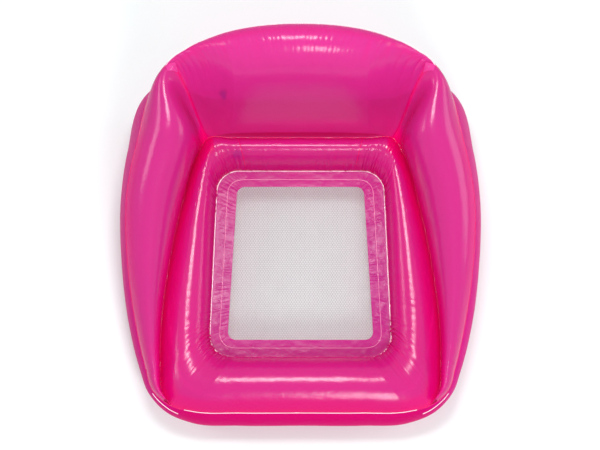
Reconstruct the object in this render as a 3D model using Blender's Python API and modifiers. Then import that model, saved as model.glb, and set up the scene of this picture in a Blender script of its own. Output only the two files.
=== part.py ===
"""Inflatable pool lounge chair of clear tinted film with an open mesh seat.

The chair is an air ring that carries two tapering arm rolls and a leaning
backrest cushion.  Every wall is a thin sheet between weld seams, so each sheet
is a loft between two seam lines.  Each of the two air chambers has a push-in
valve whose stem slides, whose plug swings on its strap and whose check flap
opens inwards.  Metres, +Z up, front at -Y, origin at the middle of the base.
"""

from math import cos, pi, radians, sin

import bpy
import bmesh
import numpy as np
from mathutils import Matrix, Vector

# Seat ring, measured from the front edge of the chair
RING_HALF_WIDTH = 0.497
RING_LENGTH = 0.912
RING_HEIGHT = 0.205
ARM_HEIGHT = 0.385
BACK_HEIGHT = 0.550
BACK_RECLINE = 0.190
BACK_BELLY = 0.065
REST_FLAT_DEPTH = 0.004
REAR_UNDERSIDE_RISE = 0.016
BOTTOM_SEAM_HEIGHT = 0.045
BOTTOM_SEAM_INSET = 0.024
FLOOR_SAG = 0.030
END_WALL_BOW = 0.004

# Weld round the seat opening and the mesh panel inside it
FLANGE_HEIGHT = 0.105
WELD_SETBACK = 0.183
WELD_LENGTH = 0.526
WELD_FRONT_HALF = 0.2514
WELD_REAR_HALF = 0.232
WELD_CORNER = 0.061
FLANGE_FRONT = 0.050
FLANGE_REAR = 0.046
FLANGE_SIDE_FRONT = 0.0515
FLANGE_SIDE_REAR = 0.056
MESH_CORNER = 0.022
MESH_HEM = 0.008
MESH_THICKNESS = 0.0008
MESH_CELL_WIDTH = 0.0365
MESH_CELL_LENGTH = 0.0330
MESH_STRAND = 0.0055

# Film and the clearances between welded sheets
FILM = 0.0003
TOUCH_GAP = 0.0003
EDGE_GAP = 0.00035
VALLEY_GAP = 0.0012
JUNCTION_GAP = 0.0010
WEB_FLOOR_GAP = 0.0007
PATCH_REACH = 0.014
PATCH_LIFT = 0.0010

# Push-in valve
VALVE_BORE = 0.0034
VALVE_STEM_WALL = 0.0016
VALVE_STEM_LENGTH = 0.0210
VALVE_LIP = 0.0016
VALVE_LIP_THICKNESS = 0.0010
VALVE_STOP_GAP = 0.0025
VALVE_COLLAR_THICKNESS = 0.0015
VALVE_FLANGE_RADIUS = 0.0130
VALVE_FLANGE_THICKNESS = 0.0006
VALVE_SEAT_GAP = 0.0005
VALVE_SLIDE_GAP = 0.0004
VALVE_TRAVEL = 0.0120
PLUG_CAP_RADIUS = 0.0060
PLUG_CAP_THICKNESS = 0.0012
PLUG_PEG_DEPTH = 0.0040
PLUG_PEG_TAPER = 0.0012
PLUG_HINGE_OFFSET = 0.0085
PLUG_STRAP_WIDTH = 0.0036
PLUG_STRAP_THICKNESS = 0.0008
STEM_EAR_LENGTH = 0.0012
FLAP_THICKNESS = 0.0006
FLAP_MARGIN = 0.0004
CUT_OVERRUN = 0.0040
MERGE_DISTANCE = 0.00001

# Counts
ARCH_STEPS = 8
CREST_STEPS = 6
SHOULDER_STEPS = 4
WALL_STEPS = 5
FLOOR_STEPS = 3
CORNER_STEPS = 6
TURN_STEPS = 16
STEPS_BETWEEN_KEYS = (2, 2, 3, 3, 2, 3, 3, 3, 3, 4, 4, 4)

# Key stations run round half the chair: 0 front middle, 3 arm tip, 10 junction
# of arm and backrest, 12 rear middle.
TIP_KEY = 3
JUNCTION_KEY = 10
REAR_KEY = 12
SHARP_CREST_ANGLE = radians(108)

# Widest line of the ring: shares of half width, ring length and ring height
WIDEST_SHARES = (
    (0.000, 0.000, 0.44),
    (0.332, 0.000, 0.44),
    (0.592, 0.008, 0.44),
    (0.736, 0.040, 0.46),
    (0.833, 0.097, 0.49),
    (0.881, 0.165, 0.50),
    (0.946, 0.303, 0.54),
    (0.990, 0.490, 0.60),
    (1.000, 0.661, 0.65),
    (0.970, 0.821, 0.68),
    (0.875, 0.979, 0.62),
    (0.563, 1.000, 0.50),
    (0.000, 1.000, 0.49),
)

# Shoulder seam: shares of half width, ring length, ring height and arm rise
SHOULDER_SHARES = (
    (0.000, 0.029, 0.82, 0.00),
    (0.324, 0.029, 0.82, 0.00),
    (0.577, 0.033, 0.82, 0.00),
    (0.700, 0.051, 0.80, 0.00),
    (0.779, 0.094, 0.81, 0.05),
    (0.805, 0.159, 0.82, 0.12),
    (0.863, 0.298, 0.82, 0.26),
    (0.901, 0.483, 0.82, 0.51),
    (0.910, 0.658, 0.82, 0.73),
    (0.861, 0.817, 0.82, 0.90),
    (0.775, 0.967, 0.82, 0.88),
    (0.483, 0.971, 0.82, 0.30),
    (0.000, 0.971, 0.82, 0.12),
)

# Valley seam from the arm tip back, then under the backrest: shares of half
# width, ring length and ring height
VALLEY_SHARES = (
    (0.700, 0.051, 0.80),
    (0.751, 0.096, 0.73),
    (0.763, 0.165, 0.70),
    (0.761, 0.303, 0.70),
    (0.722, 0.485, 0.70),
    (0.660, 0.656, 0.73),
    (0.574, 0.815, 0.79),
    (0.511, 0.859, 0.90),
    (0.382, 0.859, 0.90),
    (0.000, 0.859, 0.90),
)

# Crest line of arms and backrest: shares of half width, ring length, recline,
# ring height, arm rise and backrest rise
CREST_SHARES = (
    (0.704, 0.053, 0.00, 0.84, 0.00, 0.000),
    (0.767, 0.097, 0.00, 0.96, 0.01, 0.000),
    (0.783, 0.161, 0.00, 1.00, 0.09, 0.000),
    (0.809, 0.299, 0.00, 1.00, 0.28, 0.000),
    (0.805, 0.480, 0.00, 1.00, 0.53, 0.000),
    (0.781, 0.652, 0.00, 1.00, 0.78, 0.000),
    (0.714, 0.814, 0.00, 1.00, 1.00, 0.000),
    (0.688, 0.859, 0.74, 1.00, 1.00, 0.230),
    (0.412, 0.859, 0.92, 1.00, 1.00, 0.780),
    (0.000, 0.859, 1.00, 1.00, 1.00, 1.000),
)

# Along the weld and the mesh edge, as shares of their half outlines
WELD_STATION_SHARES = (0, 0.115, 0.183, 0.248, 0.298, 0.324, 0.376, 0.491, 0.627, 0.721, 0.771, 0.825, 1)
MESH_STATION_SHARES = (0, 0.115, 0.190, 0.248, 0.285, 0.315, 0.370, 0.490, 0.630, 0.745, 0.782, 0.840, 1)

# Height of the seat rail's crest, as shares of the ring height
RAIL_CREST_SHARES = (1, 1, 0.995, 0.95, 0.927, 0.917, 0.917, 0.917, 0.927, 0.95, 0.976, 0.985, 0.985)
RAIL_MIDDLE_SHARE = 0.5
PATCH_LENGTH_SHARE = 0.45
PATCH_TIP_SHARE = 0.1
SEAT_VALVE_KEY = 11
SEAT_VALVE_STEP = 6
SEAT_VALVE_SHARE = 0.5
BACK_VALVE_KEY = 11
BACK_VALVE_SHARE = 0.80

# How the arch over arms and backrest ends, how square it is and how far its
# belly stands out, from key 3 to key 12
ARCH_END_ANGLES = tuple(radians(a) for a in (135, 135, 135, 135, 135, 135, 136, 150, 172, 176))
ARCH_POWERS = (1, 1, 1, 1, 1, 1, 0.98, 0.85, 0.68, 0.65)
ARCH_BELLY_SHARES = (0, 0, 0, 0, 0, 0, 0, 0, 0.9, 1)
ARCH_SPREAD_SHARES = (0.3, 0.3, 0.3, 0.3, 0.3, 0.3, 0.4, 0.95, 0, 0)
RING_END_ANGLES = tuple(radians(a) for a in (141, 141, 141, 143, 150, 150, 150, 150, 150, 150, 150, 150, 150))
BOTTOM_END_ANGLE = radians(140)
WALL_POWER = 0.8
PINCH_SHARE = 0.12
PINCH_REACH_KEYS = 0.6
CREASE_POWER = 0.9
CREASE_REACH_KEYS = 0.8
WEB_FIRST_KEY = 4
WEB_LAST_KEY = 9.5


def start_scene():
    """Empties the scene and makes the collections for parts and cutters."""
    for old in list(bpy.data.objects):
        bpy.data.objects.remove(old, do_unlink=True)
    made = []
    for name in ("inflatable_lounge_chair", "cutters"):
        collection = bpy.data.collections.new(name)
        bpy.context.scene.collection.children.link(collection)
        made.append(collection)
    return made


PARTS, CUTTERS = start_scene()


def material(name, colour, roughness):
    """A plain shaded material."""
    made = bpy.data.materials.new(name)
    made.use_nodes = True
    shader = made.node_tree.nodes["Principled BSDF"]
    shader.inputs["Base Color"].default_value = (*colour, 1)
    shader.inputs["Roughness"].default_value = roughness
    shader.inputs["Metallic"].default_value = 0
    made.diffuse_color = (*colour, 1)
    return made


FILM_ROUGHNESS = 0.15
FILM_PINK = (0.74, 0.05, 0.30)
ARM_PINK = (0.70, 0.045, 0.31)
VALLEY_RED = (0.62, 0.02, 0.14)
PATCH_PINK = (0.80, 0.12, 0.38)
MESH_WHITE = (0.80, 0.80, 0.80)
MESH_ROUGHNESS = 0.7
VALVE_ROUGHNESS = 0.3
VALVE_CLEAR = (0.72, 0.62, 0.85)
VALVE_VIOLET = (0.30, 0.22, 0.62)


def metres(shares, scales):
    """Turns rows of shares into x, y, z points with the given share columns."""
    rows = []
    for row in shares:
        point = [0, 0, 0]
        for share, (axis, size) in zip(row, scales):
            point[axis] += share * size
        rows.append(point)
    return np.array(rows, dtype=float)


ARM_RISE = ARM_HEIGHT - RING_HEIGHT
BACK_RISE = BACK_HEIGHT - ARM_HEIGHT
PLAN = [(0, RING_HALF_WIDTH), (1, RING_LENGTH)]
WIDEST = metres(WIDEST_SHARES, PLAN + [(2, RING_HEIGHT)])
SHOULDER = metres(SHOULDER_SHARES, PLAN + [(2, RING_HEIGHT), (2, ARM_RISE)])
VALLEY = metres(VALLEY_SHARES, PLAN + [(2, RING_HEIGHT)])
CREST = metres(CREST_SHARES, PLAN + [(1, BACK_RECLINE), (2, RING_HEIGHT), (2, ARM_RISE), (2, BACK_RISE)])
MIRROR_X = np.array((-1, 1, 1))


def smooth_point(points, key, first=0):
    """A point on the smooth curve through key points, mirrored at the rear."""
    last = len(points) - 2
    index = min(max(int(key - first), 0), last)
    part = key - first - index
    if index > 0:
        before = points[index - 1]
    elif first == 0:
        before = points[1] * MIRROR_X
    else:
        before = 2 * points[0] - points[1]
    after = points[index + 2] if index < last else points[last] * MIRROR_X
    here = points[index]
    there = points[index + 1]
    spans = [np.linalg.norm(b - a) for a, b in ((before, here), (here, there), (there, after))]
    leave = spans[1] * ((here - before) / spans[0] - (there - before) / (spans[0] + spans[1])) + there - here
    arrive = spans[1] * ((after - there) / spans[2] - (after - here) / (spans[1] + spans[2])) + there - here
    square = part * part
    cube = square * part
    blend = 3 * square - 2 * cube
    return (here + (there - here) * blend + leave * (cube - 2 * square + part) + arrive * (cube - square))


def smooth_value(values, key):
    """A value between those of the arch keys, without a kink, mirrored at the rear."""
    padded = (values[0], *values, values[-2])
    index = min(int(key - TIP_KEY), len(values) - 2)
    part = key - TIP_KEY - index
    before, here, there, after = padded[index:index + 4]
    leave = (there - before) / 2
    arrive = (after - here) / 2
    square = part * part
    cube = square * part
    blend = 3 * square - 2 * cube
    return here + (there - here) * blend + leave * (cube - 2 * square + part) + arrive * (cube - square)


def fillet(before, corner, after, radius):
    """Points of the arc that rounds one corner of a flat outline."""
    inward = (before - corner) / np.linalg.norm(before - corner)
    onward = (after - corner) / np.linalg.norm(after - corner)
    half_angle = np.arccos(np.dot(inward, onward)) / 2
    middle = (inward + onward) / np.linalg.norm(inward + onward)
    centre = corner + middle * radius / sin(half_angle)
    reach = pi / 2 - half_angle
    across = inward - middle * np.dot(inward, middle)
    across = across / np.linalg.norm(across)
    angles = np.linspace(reach, -reach, CORNER_STEPS + 1)
    return [centre - middle * radius * cos(a) + across * radius * sin(a) for a in angles]


def half_outline(front_half, rear_half, front, rear, radius):
    """Half of a rounded opening, from its front middle to its rear middle."""
    places = ((0, front), (front_half, front), (rear_half, rear), (0, rear))
    corners = [np.array(place, dtype=float) for place in places]
    points = [corners[0]]
    for before, corner, after in zip(corners, corners[1:], corners[2:]):
        points += fillet(before, corner, after, radius)
    points.append(corners[3])
    return np.array(points)


WELD_REAR = WELD_SETBACK + WELD_LENGTH
WELD_LINE = half_outline(WELD_FRONT_HALF, WELD_REAR_HALF, WELD_SETBACK, WELD_REAR, WELD_CORNER)
MESH_FRONT_HALF = WELD_FRONT_HALF - FLANGE_SIDE_FRONT
MESH_REAR_HALF = WELD_REAR_HALF - FLANGE_SIDE_REAR
MESH_FRONT = WELD_SETBACK + FLANGE_FRONT
MESH_REAR = WELD_REAR - FLANGE_REAR
MESH_LINE = half_outline(MESH_FRONT_HALF, MESH_REAR_HALF, MESH_FRONT, MESH_REAR, MESH_CORNER)


def along(outline, station_shares, key):
    """The point of a half outline that belongs to a station."""
    share = np.interp(key, range(len(station_shares)), station_shares)
    lengths = np.concatenate(([0], np.cumsum(np.linalg.norm(np.diff(outline, axis=0), axis=1))))
    place = share * lengths[-1]
    return np.array((np.interp(place, lengths, outline[:, 0]), np.interp(place, lengths, outline[:, 1]), 0))


def arch(start, crest, end, angle_end, angles, power=1, belly=0, spread=0, crease=0):
    """Points of an inflated arch that leaves one seam, tops the crest and
    reaches the other seam at the given angle of its sweep."""
    start = np.asarray(start)
    crest = np.asarray(crest)
    end = np.asarray(end)
    level = (end - start) * np.array((1, 1, 0))
    outward = level / np.linalg.norm(level)

    def shares(angle):
        run = (1 - spread) * (1 - cos(angle)) / 2 + spread * angle / pi
        drawn_in = crease if cos(angle) > 0 else 0
        return run, max(sin(angle), 0) ** (power + drawn_in), -cos(angle) * sin(angle) * belly

    run, rise, bulge = shares(angle_end)
    keep = run - rise / 2
    foot = (end - outward * bulge - crest * rise - start * (1 - run - rise / 2)) / keep
    lift = crest - (start + foot) / 2
    points = []
    for angle in angles:
        run, rise, bulge = shares(angle)
        points.append(start + (foot - start) * run + lift * rise + outward * bulge)
    return np.array(points)


def valley(key):
    """The valley seam, which is the shoulder seam across the front."""
    if key <= TIP_KEY:
        return smooth_point(SHOULDER, key)
    return smooth_point(VALLEY, key, TIP_KEY)


def weld(key, side):
    """The weld round the opening, on the upper (1) or lower (-1) sheet."""
    lift = side * (FILM + EDGE_GAP) / 2
    return along(WELD_LINE, WELD_STATION_SHARES, key) + np.array((0, 0, FLANGE_HEIGHT + lift))


def flange(key, side):
    """The flat double film between the mesh edge and the weld."""
    lift = side * (MESH_THICKNESS / 2 + TOUCH_GAP + FILM / 2)
    inner = along(MESH_LINE, MESH_STATION_SHARES, key) + np.array((0, 0, FLANGE_HEIGHT + lift))
    outer = weld(key, side)
    level = (outer - inner) * np.array((1, 1, 0))
    return [inner, inner + level / np.linalg.norm(level) * MESH_HEM]


def seat_top_row(key):
    """Upper sheet: mesh edge, weld, rail crest, valley or front seam."""
    start = weld(key, 1)
    end = valley(key)
    crest = start + (end - start) * RAIL_MIDDLE_SHARE
    crest[2] = RING_HEIGHT * np.interp(key, range(REAR_KEY + 1), RAIL_CREST_SHARES)
    angle_end = np.interp(key, range(REAR_KEY + 1), RING_END_ANGLES)
    points = arch(start, crest, end, angle_end, np.linspace(0, angle_end, ARCH_STEPS + 1))
    gap = EDGE_GAP if key <= TIP_KEY else VALLEY_GAP
    return trimmed(np.vstack((flange(key, 1), points)), 0, gap)


def bottom_seam(key):
    """The seam of the outer wall and the bottom sheet."""
    widest = smooth_point(WIDEST, key)
    inward = (weld(key, 1) - widest) * np.array((1, 1, 0))
    point = widest + inward / np.linalg.norm(inward) * BOTTOM_SEAM_INSET
    point[2] = BOTTOM_SEAM_HEIGHT
    return point


def bottom_row(key):
    """Lower sheet: mesh edge, weld, flat where it rests, bottom seam."""
    start = weld(key, -1)
    end = bottom_seam(key)
    crest = (start + end) / 2
    crest[2] = REAR_UNDERSIDE_RISE * np.interp(key, (JUNCTION_KEY, SEAT_VALVE_KEY), (0, 1)) - REST_FLAT_DEPTH
    points = arch(start, crest, end, BOTTOM_END_ANGLE, np.linspace(0, BOTTOM_END_ANGLE, ARCH_STEPS + 1))
    points[:, 2] = np.maximum(points[:, 2], FILM / 2)
    return trimmed(np.vstack((flange(key, -1), points)), 0, EDGE_GAP)


def wall_row(key):
    """Outer wall: shoulder seam, widest line, bottom seam."""
    top = smooth_point(SHOULDER, key)
    low = bottom_seam(key)
    bulge = smooth_point(WIDEST, key) - (top + low) / 2
    shares = np.linspace(0, 1, WALL_STEPS + 1)
    points = [top + (low - top) * t + bulge * (4 * t * (1 - t)) ** WALL_POWER for t in shares]
    return trimmed(np.array(points), EDGE_GAP, EDGE_GAP)


def over_row(key):
    """The arch over an arm or the backrest, from valley to shoulder seam."""
    start = smooth_point(VALLEY, key, TIP_KEY)
    crest = smooth_point(CREST, key, TIP_KEY)
    end = smooth_point(SHOULDER, key)
    angle_end = smooth_value(ARCH_END_ANGLES, key)
    near = max(1 - abs(key - JUNCTION_KEY) / PINCH_REACH_KEYS, 0)
    crest = crest - (crest - (start + end) / 2) * PINCH_SHARE * near * near
    beside = max(1 - abs(key - JUNCTION_KEY) / CREASE_REACH_KEYS, 0)
    front = np.linspace(0, SHARP_CREST_ANGLE, CREST_STEPS + 1)
    back = np.linspace(SHARP_CREST_ANGLE, angle_end, SHOULDER_STEPS + 1)
    return arch(
        start,
        crest,
        end,
        angle_end,
        np.concatenate((front, back[1:])),
        smooth_value(ARCH_POWERS, key),
        max(smooth_value(ARCH_BELLY_SHARES, key), 0) * BACK_BELLY,
        max(smooth_value(ARCH_SPREAD_SHARES, key), 0),
        CREASE_POWER * beside * beside,
    )


def floor_row(key):
    """The sheet under the backrest, between its two chambers."""
    start = smooth_point(VALLEY, key, TIP_KEY)
    end = smooth_point(SHOULDER, key)
    down = np.array((0, 0, FLOOR_SAG))
    shares = np.linspace(0, 1, FLOOR_STEPS + 1)
    points = np.array([start + (end - start) * t - down * sin(pi * t) for t in shares])
    return trimmed(points, JUNCTION_GAP, JUNCTION_GAP)


def web_row(key):
    """The inner web that holds the valley seam down to the bottom sheet."""
    top = smooth_point(VALLEY, key, TIP_KEY)
    row = bottom_row(key)
    inner = weld(key, -1)
    reach = np.linalg.norm((top - inner)[:2])
    runs = np.linalg.norm((row - inner)[:, :2], axis=1)
    low = top.copy()
    low[2] = np.interp(reach, runs[2:], row[2:, 2]) + FILM + WEB_FLOOR_GAP
    return np.array((top - np.array((0, 0, VALLEY_GAP)), (top + low) / 2, low))


def trimmed(row, first, last):
    """Draws the ends of a row of points back from their seams."""
    row = row.copy()
    if first:
        row[0] += (row[1] - row[0]) / np.linalg.norm(row[1] - row[0]) * first
    if last:
        row[-1] += (row[-2] - row[-1]) / np.linalg.norm(row[-2] - row[-1]) * last
    return row


def stations(first=0, last=REAR_KEY):
    """The stations of half the chair between two keys."""
    places = []
    for key, steps in enumerate(STEPS_BETWEEN_KEYS):
        places += [key + step / steps for step in range(steps)]
    places.append(REAR_KEY)
    return [place for place in places if first <= place <= last]


def ring_rows(row_at):
    """Rows right round the chair, right side first, without repeats."""
    half = [row_at(key) for key in stations()]
    return np.array(half + [row * MIRROR_X for row in reversed(half[1:-1])])


def back_rows(row_at):
    """Rows across the backrest, from the right junction to the left one."""
    half = [row_at(key) for key in stations(JUNCTION_KEY)]
    rows = np.array(half + [row * MIRROR_X for row in reversed(half[:-1])])
    return draw_back_ends(rows, JUNCTION_GAP, JUNCTION_GAP)


def draw_back_ends(rows, first, last):
    """Draws the first and the last row of a sheet back from their seams."""
    flipped = rows.transpose(1, 0, 2)
    return np.array([trimmed(line, first, last) for line in flipped]).transpose(1, 0, 2)


def add_mesh(name, vertices, faces, shade):
    """Makes a mesh object in the part's collection."""
    mesh = bpy.data.meshes.new(name)
    mesh.from_pydata([tuple(v) for v in vertices], [], faces)
    mesh.materials.append(shade)
    mesh.shade_smooth()
    made = bpy.data.objects.new(name, mesh)
    PARTS.objects.link(made)
    return made


def sheet(name, rows, colour, closed=False, flip=False):
    """A film sheet lofted through rows of points and given its thickness."""
    count, width = rows.shape[:2]
    vertices = rows.reshape(-1, 3) + np.array((0, -CENTRE, 0))
    faces = []
    for row in range(count if closed else count - 1):
        after = (row + 1) % count
        for step in range(width - 1):
            face = [row * width + step, after * width + step, after * width + step + 1, row * width + step + 1]
            faces.append(face[::-1] if flip else face)
    made = add_mesh(name, vertices, faces, material(name + "_film", colour, FILM_ROUGHNESS))
    thicken = made.modifiers.new("film", "SOLIDIFY")
    thicken.thickness = FILM
    thicken.offset = 0
    thicken.use_even_offset = True
    return made


REAR_REACH = max(over_row(key)[:, 1].max() for key in stations(JUNCTION_KEY))
FRONT_REACH = min(wall_row(key)[:, 1].min() for key in stations())
CENTRE = (REAR_REACH + FRONT_REACH) / 2


def make_ring():
    """Seat ring: upper sheet, outer wall and bottom sheet."""
    sheet("seat_top_sheet", ring_rows(seat_top_row), FILM_PINK, closed=True)
    sheet("outer_wall", ring_rows(wall_row), VALLEY_RED, closed=True)
    return sheet("bottom_sheet", ring_rows(bottom_row), FILM_PINK, closed=True, flip=True)


def make_arms():
    """Arm covers and the inner webs under their valley seams."""
    first = TIP_KEY + 1 / STEPS_BETWEEN_KEYS[TIP_KEY]
    cover = np.array([trimmed(over_row(key), VALLEY_GAP, EDGE_GAP) for key in stations(first, JUNCTION_KEY)])
    cover = draw_back_ends(cover, 0, JUNCTION_GAP)
    web_keys = [key for key in stations(WEB_FIRST_KEY, WEB_LAST_KEY) if WEB_FIRST_KEY < key < WEB_LAST_KEY]
    web = np.array([web_row(key) for key in web_keys])
    for side, mirror in (("right", np.ones(3)), ("left", MIRROR_X)):
        flip = side == "left"
        sheet("arm_cover_" + side, cover * mirror, ARM_PINK, flip=flip)
        sheet("arm_web_" + side, web * mirror, VALLEY_RED, flip=flip)


def make_backrest():
    """Backrest cushion: front and rear sheets, floor and end walls."""
    front_rows = back_rows(lambda key: trimmed(over_row(key)[:CREST_STEPS + 1], JUNCTION_GAP, EDGE_GAP))
    rear_rows = back_rows(lambda key: trimmed(over_row(key)[CREST_STEPS:], EDGE_GAP, EDGE_GAP))
    sheet("backrest_front_sheet", front_rows, FILM_PINK)
    rear = sheet("backrest_rear_sheet", rear_rows, FILM_PINK)
    sheet("backrest_floor", back_rows(floor_row), VALLEY_RED)
    over = over_row(JUNCTION_KEY)
    base = np.array([over[0] + (over[-1] - over[0]) * t for t in np.linspace(0, 1, len(over))])
    high = over + unit_rows(base - over) * JUNCTION_GAP
    low = base + unit_rows(over - base) * JUNCTION_GAP
    normal = np.cross(over[-1] - over[0], over[CREST_STEPS] - over[0])
    bow = np.sin(np.linspace(0, pi, len(over)))[:, None] ** 2 * normal / np.linalg.norm(normal) * END_WALL_BOW
    wall = np.array([high, (high + low) / 2 + bow, low])[:, 1:-1]
    for side, mirror in (("right", np.ones(3)), ("left", MIRROR_X)):
        sheet("backrest_end_" + side, wall * mirror, VALLEY_RED, flip=side == "left")
    return rear


def unit_rows(rows):
    """Directions of length one, zero where a row has no length."""
    lengths = np.linalg.norm(rows, axis=1, keepdims=True)
    return rows / np.where(lengths > 0, lengths, 1)


def make_corner_patches():
    """Small welded patches over the crest of each arm and backrest junction."""
    keys = stations()
    place = keys.index(JUNCTION_KEY)
    arm = over_row(keys[place - 1])
    seam = over_row(JUNCTION_KEY)
    back = over_row(keys[place + 1])
    centre = (seam[0] + seam[-1]) / 2
    lift = PATCH_LIFT + FILM
    index = CREST_STEPS - 1
    rows = []
    ends = ((-PATCH_LENGTH_SHARE, PATCH_TIP_SHARE), (0, 1), (PATCH_LENGTH_SHARE, PATCH_TIP_SHARE))
    for place_share, wide_share in ends:
        beside = index + (1 if place_share > 0 else -1)
        root = seam[index] + (seam[beside] - seam[index]) * abs(place_share)
        tangent = seam[index + 1] - seam[index - 1]
        sides = []
        for sheet_row in (arm, back):
            aim = sheet_row[index] + (sheet_row[beside] - sheet_row[index]) * abs(place_share)
            away = (aim - root) / np.linalg.norm(aim - root)
            normal = np.cross(tangent, away)
            normal = normal / np.linalg.norm(normal)
            if np.dot(normal, root - centre) < 0:
                normal = -normal
            sides.append((root + away * PATCH_REACH * wide_share + normal * lift, normal))
        shared = sides[0][1] + sides[1][1]
        ridge = root + shared * lift / (1 + np.dot(sides[0][1], sides[1][1]))
        rows.append([sides[0][0], ridge, sides[1][0]])
    patch = np.array(rows)
    for side, mirror in (("right", np.ones(3)), ("left", MIRROR_X)):
        sheet("corner_patch_" + side, patch * mirror, PATCH_PINK, flip=side == "right")


def make_mesh_seat():
    """Flat knitted mesh panel whose rows of diamond gaps are staggered."""
    curve = bpy.data.curves.new("mesh_seat", "CURVE")
    curve.dimensions = "2D"
    curve.fill_mode = "BOTH"
    curve.extrude = MESH_THICKNESS / 2
    hem = MESH_HEM - TOUCH_GAP
    half = half_outline(
        MESH_FRONT_HALF + hem, MESH_REAR_HALF + hem, MESH_FRONT - hem, MESH_REAR + hem, MESH_CORNER + hem
    )
    loop = list(half) + [point * MIRROR_X[:2] for point in half[::-1][1:-1]]
    add_loop(curve, loop)
    length = MESH_REAR - MESH_FRONT
    rows = int(length / MESH_CELL_LENGTH * 2) - 1
    for row in range(rows):
        middle = MESH_FRONT + length / 2 + (row - (rows - 1) / 2) * MESH_CELL_LENGTH / 2
        share = (middle - MESH_FRONT) / length
        room = MESH_FRONT_HALF + (MESH_REAR_HALF - MESH_FRONT_HALF) * share
        for place in cell_places(row, room):
            across = MESH_CELL_WIDTH / 2 - MESH_STRAND / 2
            down = MESH_CELL_LENGTH / 2 - MESH_STRAND / 2
            diamond = ((across, 0), (0, down), (-across, 0), (0, -down))
            add_loop(curve, [(place + dx, middle + dy) for dx, dy in diamond])
    curve.materials.append(material("mesh_knit", MESH_WHITE, MESH_ROUGHNESS))
    made = bpy.data.objects.new("mesh_seat", curve)
    made.location = (0, -CENTRE, FLANGE_HEIGHT)
    PARTS.objects.link(made)


def cell_places(row, room):
    """Middles of the gaps in one row that fit between the side edges."""
    shift = MESH_CELL_WIDTH / 2 * (row % 2)
    count = int(room / MESH_CELL_WIDTH) + 1
    places = [index * MESH_CELL_WIDTH + shift for index in range(-count - 1, count + 1)]
    return [place for place in places if abs(place) + MESH_CELL_WIDTH / 2 < room]


def add_loop(curve, points):
    """Adds one closed straight-sided loop to a flat curve."""
    spline = curve.splines.new("POLY")
    spline.points.add(len(points) - 1)
    for target, (x, y) in zip(spline.points, points):
        target.co = (x, y, 0, 1)
    spline.use_cyclic_u = True


def turned(name, profile, shade, frame):
    """A turned piece: a closed profile swept round its own Z axis."""
    mesh = bpy.data.meshes.new(name)
    vertices = [(radius, 0, height) for radius, height in profile]
    edges = [(index, (index + 1) % len(profile)) for index in range(len(profile))]
    mesh.from_pydata(vertices, edges, [])
    mesh.materials.append(shade)
    made = bpy.data.objects.new(name, mesh)
    PARTS.objects.link(made)
    made.matrix_world = frame
    sweep = made.modifiers.new("turn", "SCREW")
    sweep.steps = TURN_STEPS
    sweep.render_steps = TURN_STEPS
    sweep.use_merge_vertices = True
    sweep.merge_threshold = MERGE_DISTANCE
    return made


def facet_frame(rows, row, step, down_share, outward_from):
    """Frame on one facet of a sheet, part way down it, Z pointing outwards."""
    corners = [Vector(rows[row + i][step + j]) for i, j in ((0, 0), (1, 0), (1, 1), (0, 1))]
    middle = (corners[0] + corners[1]).lerp(corners[2] + corners[3], down_share) / 2
    normal = (corners[2] - corners[0]).cross(corners[3] - corners[1]).normalized()
    if normal.dot(middle - Vector(outward_from)) < 0:
        normal.negate()
    along_sheet = (corners[1] - corners[0]).normalized()
    across = normal.cross(along_sheet).normalized()
    along_sheet = across.cross(normal)
    frame = Matrix((along_sheet, across, normal)).transposed().to_4x4()
    frame.translation = middle + normal * FILM / 2 - Vector((0, CENTRE, 0))
    return frame


def cut_film(target, name, frame):
    """Cuts the round hole for a valve stem through a film sheet."""
    radius = VALVE_BORE + VALVE_STEM_WALL + 2 * VALVE_SLIDE_GAP
    mesh = bpy.data.meshes.new(name)
    shape = bmesh.new()
    bmesh.ops.create_cone(
        shape, cap_ends=True, segments=TURN_STEPS, radius1=radius, radius2=radius, depth=CUT_OVERRUN * 2
    )
    shape.to_mesh(mesh)
    shape.free()
    cutter = bpy.data.objects.new(name, mesh)
    cutter.matrix_world = frame
    cutter.hide_render = True
    cutter.display_type = "WIRE"
    CUTTERS.objects.link(cutter)
    cut = target.modifiers.new(name, "BOOLEAN")
    cut.operation = "DIFFERENCE"
    cut.object = cutter


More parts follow.
